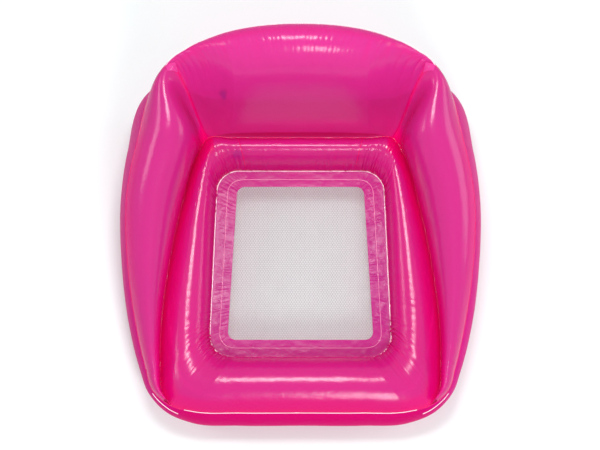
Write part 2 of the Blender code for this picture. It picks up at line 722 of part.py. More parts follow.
def make_valve(name, target, frame):
    """Push-in valve: welded flange, sliding stem, plug on its strap, flap."""
    clear = material(name + "_stem_plastic", VALVE_CLEAR, VALVE_ROUGHNESS)
    flange_shade = material(name + "_flange_plastic", VALVE_CLEAR, VALVE_ROUGHNESS)
    stem_radius = VALVE_BORE + VALVE_STEM_WALL
    lip_radius = stem_radius + VALVE_LIP
    flange_low = VALVE_SEAT_GAP
    flange_high = flange_low + VALVE_FLANGE_THICKNESS
    lip_low = flange_high + TOUCH_GAP
    lip_high = lip_low + VALVE_LIP_THICKNESS
    inner_end = lip_low - VALVE_STEM_LENGTH
    collar_high = -VALVE_TRAVEL - VALVE_STOP_GAP
    collar_low = collar_high - VALVE_COLLAR_THICKNESS
    hole = stem_radius + VALVE_SLIDE_GAP
    cut_film(target, name + "_hole", frame)
    ring = [(hole, flange_low), (VALVE_FLANGE_RADIUS, flange_low)]
    ring += [(VALVE_FLANGE_RADIUS, flange_high), (hole, flange_high)]
    turned(name + "_flange", ring[::-1], flange_shade, frame)
    tube = [(VALVE_BORE, lip_high), (lip_radius, lip_high), (lip_radius, lip_low), (stem_radius, lip_low)]
    tube += [(stem_radius, collar_high), (lip_radius, collar_high), (lip_radius, collar_low)]
    tube += [(stem_radius, collar_low), (stem_radius, inner_end), (VALVE_BORE, inner_end)]
    stem = turned(name + "_stem", tube, clear, frame)
    ear_end = PLUG_HINGE_OFFSET + STEM_EAR_LENGTH
    ear = box_tool(name + "_ear_tool", (stem_radius, ear_end), PLUG_STRAP_WIDTH, (lip_low, lip_high), clear)
    ear.matrix_world = frame
    join_solid(stem, ear)
    cap_low = lip_high + TOUCH_GAP
    make_plug(name, frame, cap_low)
    make_flap(name, frame, inner_end, stem_radius)


def make_plug(name, frame, cap_low):
    """Round cap with a tapered peg and the strap that it swings on."""
    shade = material(name + "_plug_plastic", VALVE_VIOLET, VALVE_ROUGHNESS)
    cap_high = cap_low + PLUG_CAP_THICKNESS
    axis_height = (cap_low + cap_high) / 2
    pivot = Vector((PLUG_HINGE_OFFSET, 0, axis_height))
    root_radius = VALVE_BORE - TOUCH_GAP
    tip_radius = root_radius - PLUG_PEG_TAPER
    strap_half = PLUG_STRAP_THICKNESS / 2
    shape = bmesh.new()
    cap_place = Matrix.Translation((0, 0, axis_height))
    bmesh.ops.create_cone(
        shape, cap_ends=True, segments=TURN_STEPS, radius1=PLUG_CAP_RADIUS, radius2=PLUG_CAP_RADIUS,
        depth=PLUG_CAP_THICKNESS, matrix=cap_place,
    )
    cap = object_from(shape, name + "_plug", shade)
    shape = bmesh.new()
    peg_top = axis_height
    peg_low = cap_low - PLUG_PEG_DEPTH
    bmesh.ops.create_cone(
        shape, cap_ends=True, segments=TURN_STEPS, radius1=tip_radius, radius2=root_radius,
        depth=peg_top - peg_low, matrix=Matrix.Translation((0, 0, (peg_top + peg_low) / 2)),
    )
    peg = object_from(shape, name + "_peg_tool", shade)
    strap_ends = (PLUG_CAP_RADIUS / 2, PLUG_HINGE_OFFSET + strap_half)
    strap_heights = (axis_height - strap_half, axis_height + strap_half)
    strap = box_tool(name + "_strap_tool", strap_ends, PLUG_STRAP_WIDTH, strap_heights, shade)
    for tool in (peg, strap):
        join_solid(cap, tool)
    shift_origin(cap, frame, pivot)


def make_flap(name, frame, inner_end, stem_radius):
    """Thin check flap hinged on one edge of the stem's inner end."""
    shade = material(name + "_flap_plastic", VALVE_VIOLET, VALVE_ROUGHNESS)
    high = inner_end - TOUCH_GAP
    low = high - FLAP_THICKNESS
    radius = stem_radius - FLAP_MARGIN
    shape = bmesh.new()
    bmesh.ops.create_cone(
        shape, cap_ends=True, segments=TURN_STEPS, radius1=radius, radius2=radius, depth=FLAP_THICKNESS,
        matrix=Matrix.Translation((0, 0, (high + low) / 2)),
    )
    flap = object_from(shape, name + "_check_flap", shade)
    shift_origin(flap, frame, Vector((radius, 0, high)))


def box_tool(name, ends, width, heights, shade):
    """A box between two X ends and two heights, centred across Y."""
    shape = bmesh.new()
    size = Matrix.Diagonal((ends[1] - ends[0], width, heights[1] - heights[0], 1))
    place = Matrix.Translation((sum(ends) / 2, 0, sum(heights) / 2))
    bmesh.ops.create_cube(shape, size=1, matrix=place @ size)
    return object_from(shape, name, shade)


def object_from(shape, name, shade):
    """Turns a bmesh into an object of the part."""
    mesh = bpy.data.meshes.new(name)
    shape.to_mesh(mesh)
    shape.free()
    mesh.materials.append(shade)
    made = bpy.data.objects.new(name, mesh)
    PARTS.objects.link(made)
    return made


def valve_places():
    """Frames of the two valves, left of the middle on the hidden sheets."""
    half = stations()
    near = half.index(SEAT_VALVE_KEY)
    rows = ring_rows(bottom_row)
    inside_ring = rows[near][-1] * MIRROR_X
    inside_ring = (inside_ring + rows[near][2] * MIRROR_X) / 2 + np.array((0, 0, FLANGE_HEIGHT / 2))
    seat = facet_frame(rows, len(rows) - near - 1, SEAT_VALVE_STEP, SEAT_VALVE_SHARE, inside_ring)
    across = stations(JUNCTION_KEY)
    rear = back_rows(lambda key: over_row(key)[CREST_STEPS:])
    place = len(rear) - 1 - across.index(BACK_VALVE_KEY)
    inside_back = (over_row(BACK_VALVE_KEY)[0] + over_row(BACK_VALVE_KEY)[-1]) / 2 * MIRROR_X
    inside_back = inside_back + np.array((0, 0, ARM_RISE / 2))
    behind = facet_frame(rear, place - 1, SHOULDER_STEPS - 1, BACK_VALVE_SHARE, inside_back)
    return seat, behind


def join_solid(target, tool):
    """Joins one closed solid to another and removes the tool."""
    join = target.modifiers.new(tool.name, "BOOLEAN")
    join.operation = "UNION"
    join.object = tool
    bpy.context.view_layer.update()
    evaluated = target.evaluated_get(bpy.context.evaluated_depsgraph_get())
    mesh = bpy.data.meshes.new_from_object(evaluated)
    target.modifiers.clear()
    target.data = mesh
    bpy.data.objects.remove(tool, do_unlink=True)


def shift_origin(made, frame, pivot):
    """Puts a piece's origin on its hinge axis and the piece in its frame."""
    made.data.transform(Matrix.Translation(-pivot))
    made.matrix_world = frame @ Matrix.Translation(pivot)


bottom = make_ring()
make_arms()
back = make_backrest()
make_corner_patches()
make_mesh_seat()
SEAT_VALVE_FRAME, BACK_VALVE_FRAME = valve_places()
make_valve("seat_valve", bottom, SEAT_VALVE_FRAME)
make_valve("back_valve", back, BACK_VALVE_FRAME)
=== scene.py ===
from math import cos, pi, radians, sin

import bmesh
import bpy
import numpy as np
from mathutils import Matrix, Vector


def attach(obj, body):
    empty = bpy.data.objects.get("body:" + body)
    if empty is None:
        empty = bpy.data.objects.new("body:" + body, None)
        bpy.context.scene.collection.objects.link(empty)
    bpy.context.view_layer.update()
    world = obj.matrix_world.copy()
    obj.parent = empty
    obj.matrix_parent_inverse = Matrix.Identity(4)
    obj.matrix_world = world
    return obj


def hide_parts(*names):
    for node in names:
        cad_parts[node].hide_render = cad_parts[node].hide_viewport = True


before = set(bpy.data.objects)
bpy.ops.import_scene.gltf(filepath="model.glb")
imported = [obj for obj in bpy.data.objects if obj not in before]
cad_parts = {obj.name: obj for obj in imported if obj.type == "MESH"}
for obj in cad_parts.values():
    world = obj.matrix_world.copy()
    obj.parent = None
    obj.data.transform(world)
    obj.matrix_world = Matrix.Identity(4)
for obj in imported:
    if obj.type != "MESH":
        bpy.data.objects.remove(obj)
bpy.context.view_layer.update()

# Camera: nearly straight above the seat, tipped a little towards the front,
# at the distance and width of view that give 2.78 mm to a picture column.
VIEW_ELEVATION = radians(78)
VIEW_DISTANCE = 4.8
VIEW_TARGET = np.array((0.0, 0.0530, 0.10))
VIEW_LENS = 103.6
VIEW_SHIFT = -0.5 / 600
towards_camera = np.array((0, -cos(VIEW_ELEVATION), sin(VIEW_ELEVATION)))
lens = bpy.data.cameras.new("view_from_above")
lens.sensor_width = 36
lens.lens = VIEW_LENS
lens.shift_x = VIEW_SHIFT
camera = bpy.data.objects.new("view_from_above", lens)
camera.location = VIEW_TARGET + towards_camera * VIEW_DISTANCE
camera.rotation_euler = (pi / 2 - VIEW_ELEVATION, 0, 0)
bpy.context.scene.collection.objects.link(camera)
bpy.context.scene.camera = camera

# Studio: a wide white floor under an even white sky, a soft lamp overhead that
# draws the thin pale lines on the rolls, and one each right, left and in front.
FLOOR_HALF = 9.0
FLOOR_DROP = 0.0008
FLOOR_WHITE = (0.84, 0.91, 0.90)
FLOOR_LIFT = 0.07
FLOOR_ROUGHNESS = 0.9
SKY_LIGHT = 0.46
LAMP_AIM = (0, 0, 0.15)
LAMPS = (
    ("top_lamp", (-0.07, 0.55, 3.2), (0.95, 0.60), 48),
    ("right_lamp", (2.7, 0.35, 1.0), (1.6, 1.2), 18),
    ("left_lamp", (-2.7, 0.3, 2.2), (0.9, 0.9), 14),
    ("front_lamp", (0.6, -2.4, 3.0), (1.0, 1.0), 54),
)


def wire(tree, node, inputs):
    """Gives each input of a shader node its value, or a link where the value
    is the output of another node."""
    for name, value in inputs.items():
        if hasattr(value, "is_linked"):
            tree.links.new(value, node.inputs[name])
        else:
            node.inputs[name].default_value = value
    return node


def add_node(tree, kind, inputs=None, **settings):
    """A new shader node with its settings first and then its inputs."""
    node = tree.nodes.new(kind)
    for name, value in settings.items():
        setattr(node, name, value)
    return wire(tree, node, inputs or {})


def new_material(name):
    """A new material, its node tree and its Principled BSDF."""
    made = bpy.data.materials.new(name)
    made.use_nodes = True
    return made, made.node_tree, made.node_tree.nodes["Principled BSDF"]


def maths(tree, operation, *values, clamp=False):
    """The output of a Math node that works on outputs or numbers."""
    settings = {"operation": operation, "use_clamp": clamp}
    return add_node(tree, "ShaderNodeMath", dict(enumerate(values)), **settings).outputs[0]


def seen_share(tree):
    """How much a ray shows to the eye: camera, glossy or transmission rays."""
    rays = add_node(tree, "ShaderNodeLightPath").outputs
    first = maths(tree, "MAXIMUM", rays["Is Camera Ray"], rays["Is Glossy Ray"])
    return maths(tree, "MAXIMUM", first, rays["Is Transmission Ray"])


def lit_world():
    """An even white sky that lights weakly and looks white."""
    world = bpy.data.worlds.new("studio_sky")
    world.use_nodes = True
    tree = world.node_tree
    sky = wire(tree, tree.nodes["Background"], {"Color": (1, 1, 1, 1), "Strength": SKY_LIGHT})
    white = add_node(tree, "ShaderNodeBackground", {"Color": (1, 1, 1, 1), "Strength": 1})
    mix = add_node(tree, "ShaderNodeMixShader", {
        0: seen_share(tree), 1: sky.outputs[0], 2: white.outputs[0],
    })
    wire(tree, tree.nodes["World Output"], {"Surface": mix.outputs[0]})
    bpy.context.scene.world = world


def floor_material():
    """Matt white floor, lifted to white where it is looked at."""
    made, tree, body = new_material("studio_floor")
    wire(tree, body, {
        "Base Color": (*FLOOR_WHITE, 1), "Roughness": FLOOR_ROUGHNESS, "Specular IOR Level": 0,
    })
    lift = maths(tree, "MULTIPLY", seen_share(tree), FLOOR_LIFT)
    glow = add_node(tree, "ShaderNodeEmission", {"Strength": lift})
    both = add_node(tree, "ShaderNodeAddShader", {0: body.outputs[0], 1: glow.outputs[0]})
    wire(tree, tree.nodes["Material Output"], {"Surface": both.outputs[0]})
    return made


lit_world()
floor_mesh = bpy.data.meshes.new("floor")
floor_signs = ((-1, -1), (1, -1), (1, 1), (-1, 1))
floor_corners = [(x * FLOOR_HALF, y * FLOOR_HALF, -FLOOR_DROP) for x, y in floor_signs]
floor_mesh.from_pydata(floor_corners, [], [(0, 1, 2, 3)])
floor_mesh.materials.append(floor_material())
floor = bpy.data.objects.new("floor", floor_mesh)
bpy.context.scene.collection.objects.link(floor)
for name, place, size, power in LAMPS:
    lamp_data = bpy.data.lights.new(name, "AREA")
    lamp_data.shape = "RECTANGLE"
    lamp_data.size, lamp_data.size_y = size
    lamp_data.energy = power
    lamp = bpy.data.objects.new(name, lamp_data)
    lamp.location = place
    aim = Vector(LAMP_AIM) - lamp.location
    lamp.rotation_euler = aim.to_track_quat("-Z", "Y").to_euler()
    bpy.context.scene.collection.objects.link(lamp)
bpy.context.scene.view_settings.view_transform = "Standard"

# Bottom sheet: one piece of clear pink vinyl film, 0.3 mm thick, welded round
# the seat opening and to the outer wall. It flattens where the chair rests.
HALF_WIDTH = 0.497
RING_LENGTH = 0.912
RING_HEIGHT = 0.205
ARM_RISE = 0.180
BACK_RISE = 0.165
BACK_RECLINE = 0.190
BACK_BELLY = 0.065
MIDDLE = 0.50256
FLANGE_HEIGHT = 0.105
WELD_SETBACK = 0.183
WELD_LENGTH = 0.526
WELD_FRONT_HALF = 0.2514
WELD_REAR_HALF = 0.232
WELD_CORNER = 0.061
MESH_FRONT_INSET = 0.050
MESH_REAR_INSET = 0.046
MESH_FRONT_SIDE_INSET = 0.0515
MESH_REAR_SIDE_INSET = 0.056
MESH_CORNER = 0.022
SEAM_GAP = 0.0003
HEM_LIFT = 0.00096
REST_FLAT = 0.004
REAR_RISE = 0.016
BOTTOM_SEAM_HEIGHT = 0.045
BOTTOM_SEAM_INSET = 0.024
BOTTOM_END = radians(140)
BOTTOM_COLUMNS = 34
FLANGE_COLUMNS = 11
ROWS_PER_KEY = 48
MIRROR = np.array((-1, 1, 1))
WELD_SHARES = (0, 0.115, 0.183, 0.248, 0.298, 0.324, 0.376, 0.491, 0.627, 0.721, 0.771, 0.825, 1)
MESH_SHARES = (0, 0.115, 0.190, 0.248, 0.285, 0.315, 0.370, 0.490, 0.630, 0.745, 0.782, 0.840, 1)

# Shares of half width, ring length and ring height, from the front middle
# (0) round the arm tip (3) and the arm's rear end (10) to the rear middle (12)
WIDEST = np.array((
    (0.000, 0.000, 0.44), (0.332, 0.000, 0.44), (0.592, 0.008, 0.44), (0.736, 0.040, 0.46),
    (0.833, 0.097, 0.49), (0.881, 0.165, 0.50), (0.946, 0.303, 0.54), (0.990, 0.490, 0.60),
    (1.000, 0.661, 0.65), (0.969, 0.821, 0.68), (0.887, 0.983, 0.64), (0.563, 1.000, 0.50),
    (0.000, 1.000, 0.49),
)) * (HALF_WIDTH, RING_LENGTH, RING_HEIGHT)


def cubic(here, there, leave, arrive, part):
    """The cubic from here to there that has a given slope at either end."""
    square, cube = part ** 2, part ** 3
    rise, ease_out, ease_in = 3 * square - 2 * cube, cube - 2 * square + part, cube - square
    return here + (there - here) * rise + leave * ease_out + arrive * ease_in


def seam(points, keys, first=0):
    """A smooth curve through key points: cubic between neighbours, with the
    slope at each point taken from the chords on both sides of it."""
    lead = points[1] * MIRROR if first == 0 else 2 * points[0] - points[1]
    chain = np.vstack((lead, points, points[-2] * MIRROR))
    at = np.clip((keys - first).astype(int), 0, len(points) - 2)
    part = (keys - first - at)[:, None]
    before, here, there, after = (chain[at + step] for step in range(4))
    back, span, on = (np.linalg.norm(b - a, axis=1, keepdims=True) for a, b in
                      ((before, here), (here, there), (there, after)))
    leave = span * ((here - before) / back - (there - before) / (back + span)) + there - here
    arrive = span * ((after - there) / on - (after - here) / (span + on)) + there - here
    return cubic(here, there, leave, arrive, part)


def smooth(values, keys):
    """A cubic through the values of the stations 3 to 12, with each slope taken
    from the values on both sides; the rear middle mirrors."""
    chain = np.array((values[0], *values, values[-2]), dtype=float)
    at = np.clip((keys - 3).astype(int), 0, len(values) - 2)
    part = keys - 3 - at
    before, here, there, after = (chain[at + step] for step in range(4))
    return cubic(here, there, (there - before) / 2, (after - here) / 2, part)


def opening_line(front_half, rear_half, front, rear, radius):
    """Half of a rounded opening from its front middle to its rear middle:
    straight sides joined by arcs that touch both."""
    corners = np.array(((0, front), (front_half, front), (rear_half, rear), (0, rear)), dtype=float)
    points = [corners[:1]]
    for before, corner, after in zip(corners, corners[1:], corners[2:]):
        inward, onward = ((p - corner) / np.linalg.norm(p - corner) for p in (before, after))
        middle = (inward + onward) / np.linalg.norm(inward + onward)
        half_angle = np.arccos(inward @ onward) / 2
        across = inward - middle * (inward @ middle)
        across /= np.linalg.norm(across)
        angle = np.linspace(1, -1, 33)[:, None] * (pi / 2 - half_angle)
        centre = corner + middle * radius / sin(half_angle)
        points.append(centre - middle * radius * np.cos(angle) + across * radius * np.sin(angle))
    return np.vstack(points + [corners[3:]])


def along(line, shares, keys):
    """Points of a half outline at the stations, by share of its length."""
    lengths = np.concatenate(([0], np.cumsum(np.linalg.norm(np.diff(line, axis=0), axis=1))))
    place = np.interp(keys, range(len(shares)), shares) * lengths[-1]
    x, y = (np.interp(place, lengths, line[:, axis]) for axis in (0, 1))
    return np.stack((x, y, 0 * keys), 1)


def level_unit(vectors):
    """The level direction of each vector, of length one."""
    flat = vectors * (1, 1, 0)
    return flat / np.linalg.norm(flat, axis=-1, keepdims=True)


def arch(start, crest, end, angle_end, angles, power=1.0, belly=0.0, spread=0.0, crease=0.0):
    """Inflated arches, one per station: half an ellipse that leaves the first
    seam, tops the crest and is cut off at the second seam.  Its height goes as
    a power of the sine, higher before the crest where a crease draws it in, and
    its belly stands out by the sine of twice the angle."""
    def as_rows(value):
        return np.broadcast_to(np.asarray(value, dtype=float), len(start))[:, None]
    power, belly, spread, last, crease = map(as_rows, (power, belly, spread, angle_end, crease))
    outward = level_unit(end - start)

    def shares(angle):
        run = (1 - spread) * (1 - np.cos(angle)) / 2 + spread * angle / pi
        drawn_in = power + crease * (np.cos(angle) > 0)
        return run, np.maximum(np.sin(angle), 0) ** drawn_in, -np.cos(angle) * np.sin(angle) * belly

    run, rise, bulge = shares(last)
    foot = (end - outward * bulge - crest * rise - start * (1 - run - rise / 2)) / (run - rise / 2)
    lift = crest - (start + foot) / 2
    run, rise, bulge = (value[:, :, None] for value in shares(angles))
    upright = lift[:, None] * rise + outward[:, None] * bulge
    return start[:, None] + (foot - start)[:, None] * run + upright


WELD_LINE = opening_line(
    WELD_FRONT_HALF, WELD_REAR_HALF, WELD_SETBACK, WELD_SETBACK + WELD_LENGTH, WELD_CORNER,
)
MESH_LINE = opening_line(
    WELD_FRONT_HALF - MESH_FRONT_SIDE_INSET, WELD_REAR_HALF - MESH_REAR_SIDE_INSET,
    WELD_SETBACK + MESH_FRONT_INSET, WELD_SETBACK + WELD_LENGTH - MESH_REAR_INSET, MESH_CORNER,
)
RING_KEYS = np.linspace(0, 12, 12 * ROWS_PER_KEY + 1)


def weld(keys, side):
    """The weld round the opening, a hair above (1) or below (-1) its middle."""
    return along(WELD_LINE, WELD_SHARES, keys) + (0, 0, FLANGE_HEIGHT + side * SEAM_GAP)


def flange(keys, side):
    """The flat film from the mesh edge out to the weld, in even steps."""
    inner = along(MESH_LINE, MESH_SHARES, keys) + (0, 0, FLANGE_HEIGHT + side * HEM_LIFT)
    outer = weld(keys, side)
    share = np.linspace(0, 1, FLANGE_COLUMNS + 1)[None, :-1, None]
    return inner[:, None] * (1 - share) + outer[:, None] * share


def bottom_seam(keys):
    """The seam of the outer wall and the bottom sheet, in from the widest line."""
    widest = seam(WIDEST, keys)
    point = widest + level_unit(weld(keys, 1) - widest) * BOTTOM_SEAM_INSET
    point[:, 2] = BOTTOM_SEAM_HEIGHT
    return point


def bottom_points(keys):
    """Mesh edge, weld, flat band on the ground and outer seam of each station."""
    start, end = weld(keys, -1), bottom_seam(keys)
    crest = (start + end) / 2
    crest[:, 2] = REAR_RISE * np.interp(keys, (10, 11), (0, 1)) - REST_FLAT
    angles = np.linspace(0, BOTTOM_END, BOTTOM_COLUMNS)[None]
    points = arch(start, crest, end, BOTTOM_END, angles)
    points[:, :, 2] = np.maximum(points[:, :, 2], SEAM_GAP / 2)
    return np.concatenate((flange(keys, -1), points), axis=1)


def round_ring(half):
    """Both halves of the ring from the right half, closed without repeats."""
    return np.concatenate((half, half[-2:0:-1] * MIRROR))


def run_length(points):
    """Distance covered along each line of points."""
    steps = np.linalg.norm(np.diff(points, axis=-2), axis=-1)
    return np.concatenate((np.zeros(steps.shape[:-1] + (1,)), np.cumsum(steps, axis=-1)), axis=-1)


PLEAT_WAVES = 7
PLEAT_SPREAD = (0.55, 1.55)
PLEAT_POWER = 0.75
PLEAT_LEVEL = 0.6


def pleats(distance, total, wavelength, seed, drift=0.0):
    """Irregular gathers along a seam: seven waves of nearly one length are
    added and folded at zero, so the creases are sharp and the ridges round."""
    random = np.random.default_rng(seed)
    value = 0
    for wave in range(PLEAT_WAVES):
        turns = round(total / wavelength * random.uniform(*PLEAT_SPREAD))
        value = value + np.cos(2 * pi * turns * distance / total + random.uniform(0, 2 * pi)
                               + drift * random.uniform(-1, 1))
    return np.abs(value / PLEAT_WAVES ** 0.5) ** PLEAT_POWER - PLEAT_LEVEL


def outward_normals(points, core, closed=False):
    """Unit normals of a grid of points, all pointing away from its core."""
    if closed:
        run = np.roll(points, -1, 0) - np.roll(points, 1, 0)
    else:
        run = np.gradient(points, axis=0)
    normal = np.cross(run, np.gradient(points, axis=1))
    normal /= np.maximum(np.linalg.norm(normal, axis=-1, keepdims=True), 1e-12)
    outward = np.sum(normal * (points - core[:, None])) > 0
    return (normal if outward else -normal), outward


def sheet_object(name, points, faces_up, closed, shade, deep=None):
    """A film sheet through a grid of points (stations x columns), with a UV
    map in metres along and across the sheet and the mask of its deep colour."""
    rows, columns = points.shape[:2]
    index = np.arange(rows * columns).reshape(rows, columns)
    here = index if closed else index[:-1]
    after = np.roll(index, -1, axis=0) if closed else index[1:]
    faces = np.stack((here[:, :-1], after[:, :-1], after[:, 1:], here[:, 1:]), -1).reshape(-1, 4)
    long_way = np.mean(run_length(points.transpose(1, 0, 2))[:, -1])
    uv_rows = np.arange(rows + 1) * long_way / max(rows - 1, 1)
    uv_across = np.mean(run_length(points), axis=0)
    at = np.arange(len(here))
    u = np.stack((uv_rows[at], uv_rows[at + 1], uv_rows[at + 1], uv_rows[at]), -1)[:, None, :]
    v = np.stack((uv_across[:-1], uv_across[:-1], uv_across[1:], uv_across[1:]), -1)[None]
    uv = np.stack(np.broadcast_arrays(u, v), -1).reshape(-1, 4, 2)
    if not faces_up:
        faces, uv = faces[:, ::-1], uv[:, ::-1]
    mesh = bpy.data.meshes.new(name)
    mesh.vertices.add(rows * columns)
    mesh.vertices.foreach_set("co", (points - (0, MIDDLE, 0)).ravel())
    mesh.loops.add(faces.size)
    mesh.loops.foreach_set("vertex_index", faces.ravel())
    mesh.polygons.add(len(faces))
    mesh.polygons.foreach_set("loop_start", np.arange(len(faces)) * 4)
    mesh.uv_layers.new(name="film").uv.foreach_set("vector", uv.ravel())
    if deep is not None:
        mask = np.broadcast_to(deep, points.shape[:2]).ravel()
        mesh.attributes.new("deep", "FLOAT", "POINT").data.foreach_set("value", mask)
    mesh.update(calc_edges=True)
    mesh.shade_smooth()
    mesh.materials.append(shade)
    made = bpy.data.objects.new(name, mesh)
    bpy.context.scene.collection.objects.link(made)
    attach(made, "film")
    return made


def noise(tree, scale, detail=2):
    """Smooth noise over the object, with this many waves to a metre."""
    place = add_node(tree, "ShaderNodeTexCoord").outputs["Object"]
    inputs = {"Vector": place, "Scale": scale, "Detail": detail}
    return add_node(tree, "ShaderNodeTexNoise", inputs).outputs["Fac"]


def mixed(tree, share, first, second):
    """A colour between two others, by share of the second."""
    inputs = {"Factor": share, "A": first, "B": second}
    return add_node(tree, "ShaderNodeMix", inputs, data_type="RGBA").outputs["Result"]


def bumped(tree, height, distance):
    """The normal of a surface raised by a height of 0 to 1 times a distance."""
    inputs = {"Height": height, "Distance": distance, "Strength": 1}
    return add_node(tree, "ShaderNodeBump", inputs).outputs["Normal"]


def show_through(tree, body, tint, cover):
    """A share of the body's own surface; the rest shows what is behind it."""
    through = add_node(tree, "ShaderNodeBsdfTransparent", {"Color": (*tint, 1)})
    inputs = {0: cover, 1: through.outputs[0], 2: body.outputs[0]}
    both = add_node(tree, "ShaderNodeMixShader", inputs)
    wire(tree, tree.nodes["Material Output"], {"Surface": both.outputs[0]})


CLOUD_SCALE = 7
SMEAR_SCALE = 22
SMEAR_STRENGTH = 0.12
RIPPLE_SCALE = 38
GRAIN_SCALE = 210
GRAIN_SHARE = 0.10


def film_group():
    """Colour and surface of clear vinyl film.  A mask takes it from its own
    colour (0) over a deeper one (a half) to red (1), the mask clouds slightly,
    and the surface ripples in two sizes of noise."""
    group = bpy.data.node_groups.new("vinyl_film", "ShaderNodeTree")
    face = group.interface
    for name in ("Colour", "Deep", "Red"):
        socket = face.new_socket(name, in_out="INPUT", socket_type="NodeSocketColor")
        socket.default_value = (1, 1, 1, 1)
    for name, value in (("Depth", 0.0), ("Clouding", 0.1), ("Roughness", 0.2)):
        socket = face.new_socket(name, in_out="INPUT", socket_type="NodeSocketFloat")
        socket.default_value = value
    face.new_socket("Colour", in_out="OUTPUT", socket_type="NodeSocketColor")
    for name in ("Rough", "Height"):
        face.new_socket(name, in_out="OUTPUT", socket_type="NodeSocketFloat")
    inside, outside = add_node(group, "NodeGroupInput").outputs, add_node(group, "NodeGroupOutput")
    cloud = maths(group, "SUBTRACT", noise(group, CLOUD_SCALE, 3), 0.5)
    depth = maths(group, "MULTIPLY_ADD", cloud, inside["Clouding"], inside["Depth"])
    to_deep = maths(group, "MULTIPLY", depth, 2, clamp=True)
    to_red = maths(group, "MULTIPLY_ADD", depth, 2, -1, clamp=True)
    fuller = mixed(group, to_deep, inside["Colour"], inside["Deep"])
    smears = maths(group, "SUBTRACT", noise(group, SMEAR_SCALE), 0.5)
    grain = maths(group, "MULTIPLY", noise(group, GRAIN_SCALE, 3), GRAIN_SHARE)
    wire(group, outside, {
        "Colour": mixed(group, to_red, fuller, inside["Red"]),
        "Rough": maths(group, "MULTIPLY_ADD", smears, SMEAR_STRENGTH, inside["Roughness"]),
        "Height": maths(group, "ADD", noise(group, RIPPLE_SCALE), grain),
    })
    return group


FILM_GROUP = film_group()
FILM_IOR = 1.50
FILM_SHINE = 0.50
MAGENTA = (0.90, 0.001, 0.26)
CRIMSON = (0.98, 0.001, 0.21)
THROUGH = (0.95, 0.14, 0.55)


def film(name, colour, cover, deep=MAGENTA, red=CRIMSON, roughness=0.19, clouding=0.14,
         bump=0.0008, shine=FILM_SHINE):
    """Tinted vinyl: a share of what is behind shows through the tint, and the
    rest is the film's own colour and gloss.  The mask "deep" on the mesh marks
    where several layers lie close together and the colour is fuller; in the
    crease valleys of the gathers and on the flange it also carries painted shade."""
    made, tree, body = new_material(name)
    mask = add_node(tree, "ShaderNodeAttribute", attribute_name="deep")
    look = add_node(tree, "ShaderNodeGroup", {
        "Colour": (*colour, 1), "Deep": (*deep, 1), "Red": (*red, 1), "Depth": mask.outputs["Fac"],
        "Clouding": clouding, "Roughness": roughness,
    }, node_tree=FILM_GROUP).outputs
    wire(tree, body, {
        "Base Color": look["Colour"], "Roughness": look["Rough"], "IOR": FILM_IOR,
        "Specular IOR Level": shine, "Normal": bumped(tree, look["Height"], bump),
    })
    show_through(tree, body, THROUGH, cover)
    return made


RING_FILM = film("ring_film", (0.76, 0.018, 0.31), 0.56)
PLEAT_START = 0.007
PLEAT_FADE = 1.5
PLEAT_DRIFT = 0.8
REACH_SWING = 0.45
REACH_WAVES = 3.1
REACH_SEED = 40
# The crease mask paints a deeper colour into the valleys of the gathers: partly painted shade,
# partly the fuller colour of folded film.
CREASE_SHADE_START = 0.05
CREASE_SHADE_RANGE = 0.45


def seam_run(line):
    """Distance covered at each point of a seam, and the length of its round."""
    step = np.linalg.norm(np.diff(np.vstack((line, line[:1])), axis=0), axis=1)
    return np.concatenate(([0], np.cumsum(step[:-1])))[:, None], step.sum()


def gathers(points, keys, seams, seed):
    """Outward offsets of a sheet's gathers, and the mask of their creases, where
    colour is painted deeper: partly painted shade, partly the fuller colour of
    the folded film.
    Each seam gives the column it starts at (0 or -1), the length of its
    pleats, how far they reach, their height and their strength by station.
    Pleats grow over the first millimetres and then fade by an exponential."""
    from_first = run_length(points)
    offset, crease_shade = np.zeros(points.shape[:2]), np.zeros(points.shape[:2])
    for number, (end, wavelength, reach, height, strength) in enumerate(seams):
        distance, total = seam_run(points[:, end])
        away = from_first if end == 0 else from_first[:, -1:] - from_first
        swing = pleats(distance, total, wavelength * REACH_WAVES, seed + number + REACH_SEED)
        length = reach * (1 + REACH_SWING * swing)
        fade = np.exp(-(away / np.maximum(length, reach / 3)) ** PLEAT_FADE)
        fade = fade * np.minimum(away / PLEAT_START, 1)
        fold = pleats(distance, total, wavelength, seed + number, drift=away / reach * PLEAT_DRIFT)
        force = fade * np.interp(keys, range(13), strength)[:, None]
        offset += fold * height * force
        crease = np.clip(-CREASE_SHADE_START - fold, 0, CREASE_SHADE_RANGE) / CREASE_SHADE_RANGE
        crease_shade = np.maximum(crease_shade, crease * np.minimum(force, 1))
    return offset, crease_shade


def gathered(points, core, keys, seams, seed, closed=False, first=0, share=1.0):
    """The points moved out along their normals by a share of their gathers,
    which start at the first column given, the mask of painted shade in the
    creases, and whether the faces of the grid look outward as they are."""
    normals, faces_up = outward_normals(points, core, closed)
    offset, crease_shade = gathers(points[:, first:], keys, seams, seed)
    moved = points.copy()
    moved[:, first:] += normals[:, first:] * (offset * share)[:, :, None]
    return moved, crease_shade, faces_up


RING_STATIONS = np.concatenate((RING_KEYS, RING_KEYS[-2:0:-1]))
FLANGE_STRENGTH = (0.12, 0.15, 0.3, 0.5, 0.6, 0.8, 0.9, 0.9, 0.8, 0.6, 0.4, 0.2, 0.12)
FLANGE_WAVE = 0.0007
FLANGE_FOLD = 0.024
FLANGE_CRINKLE = 0.010


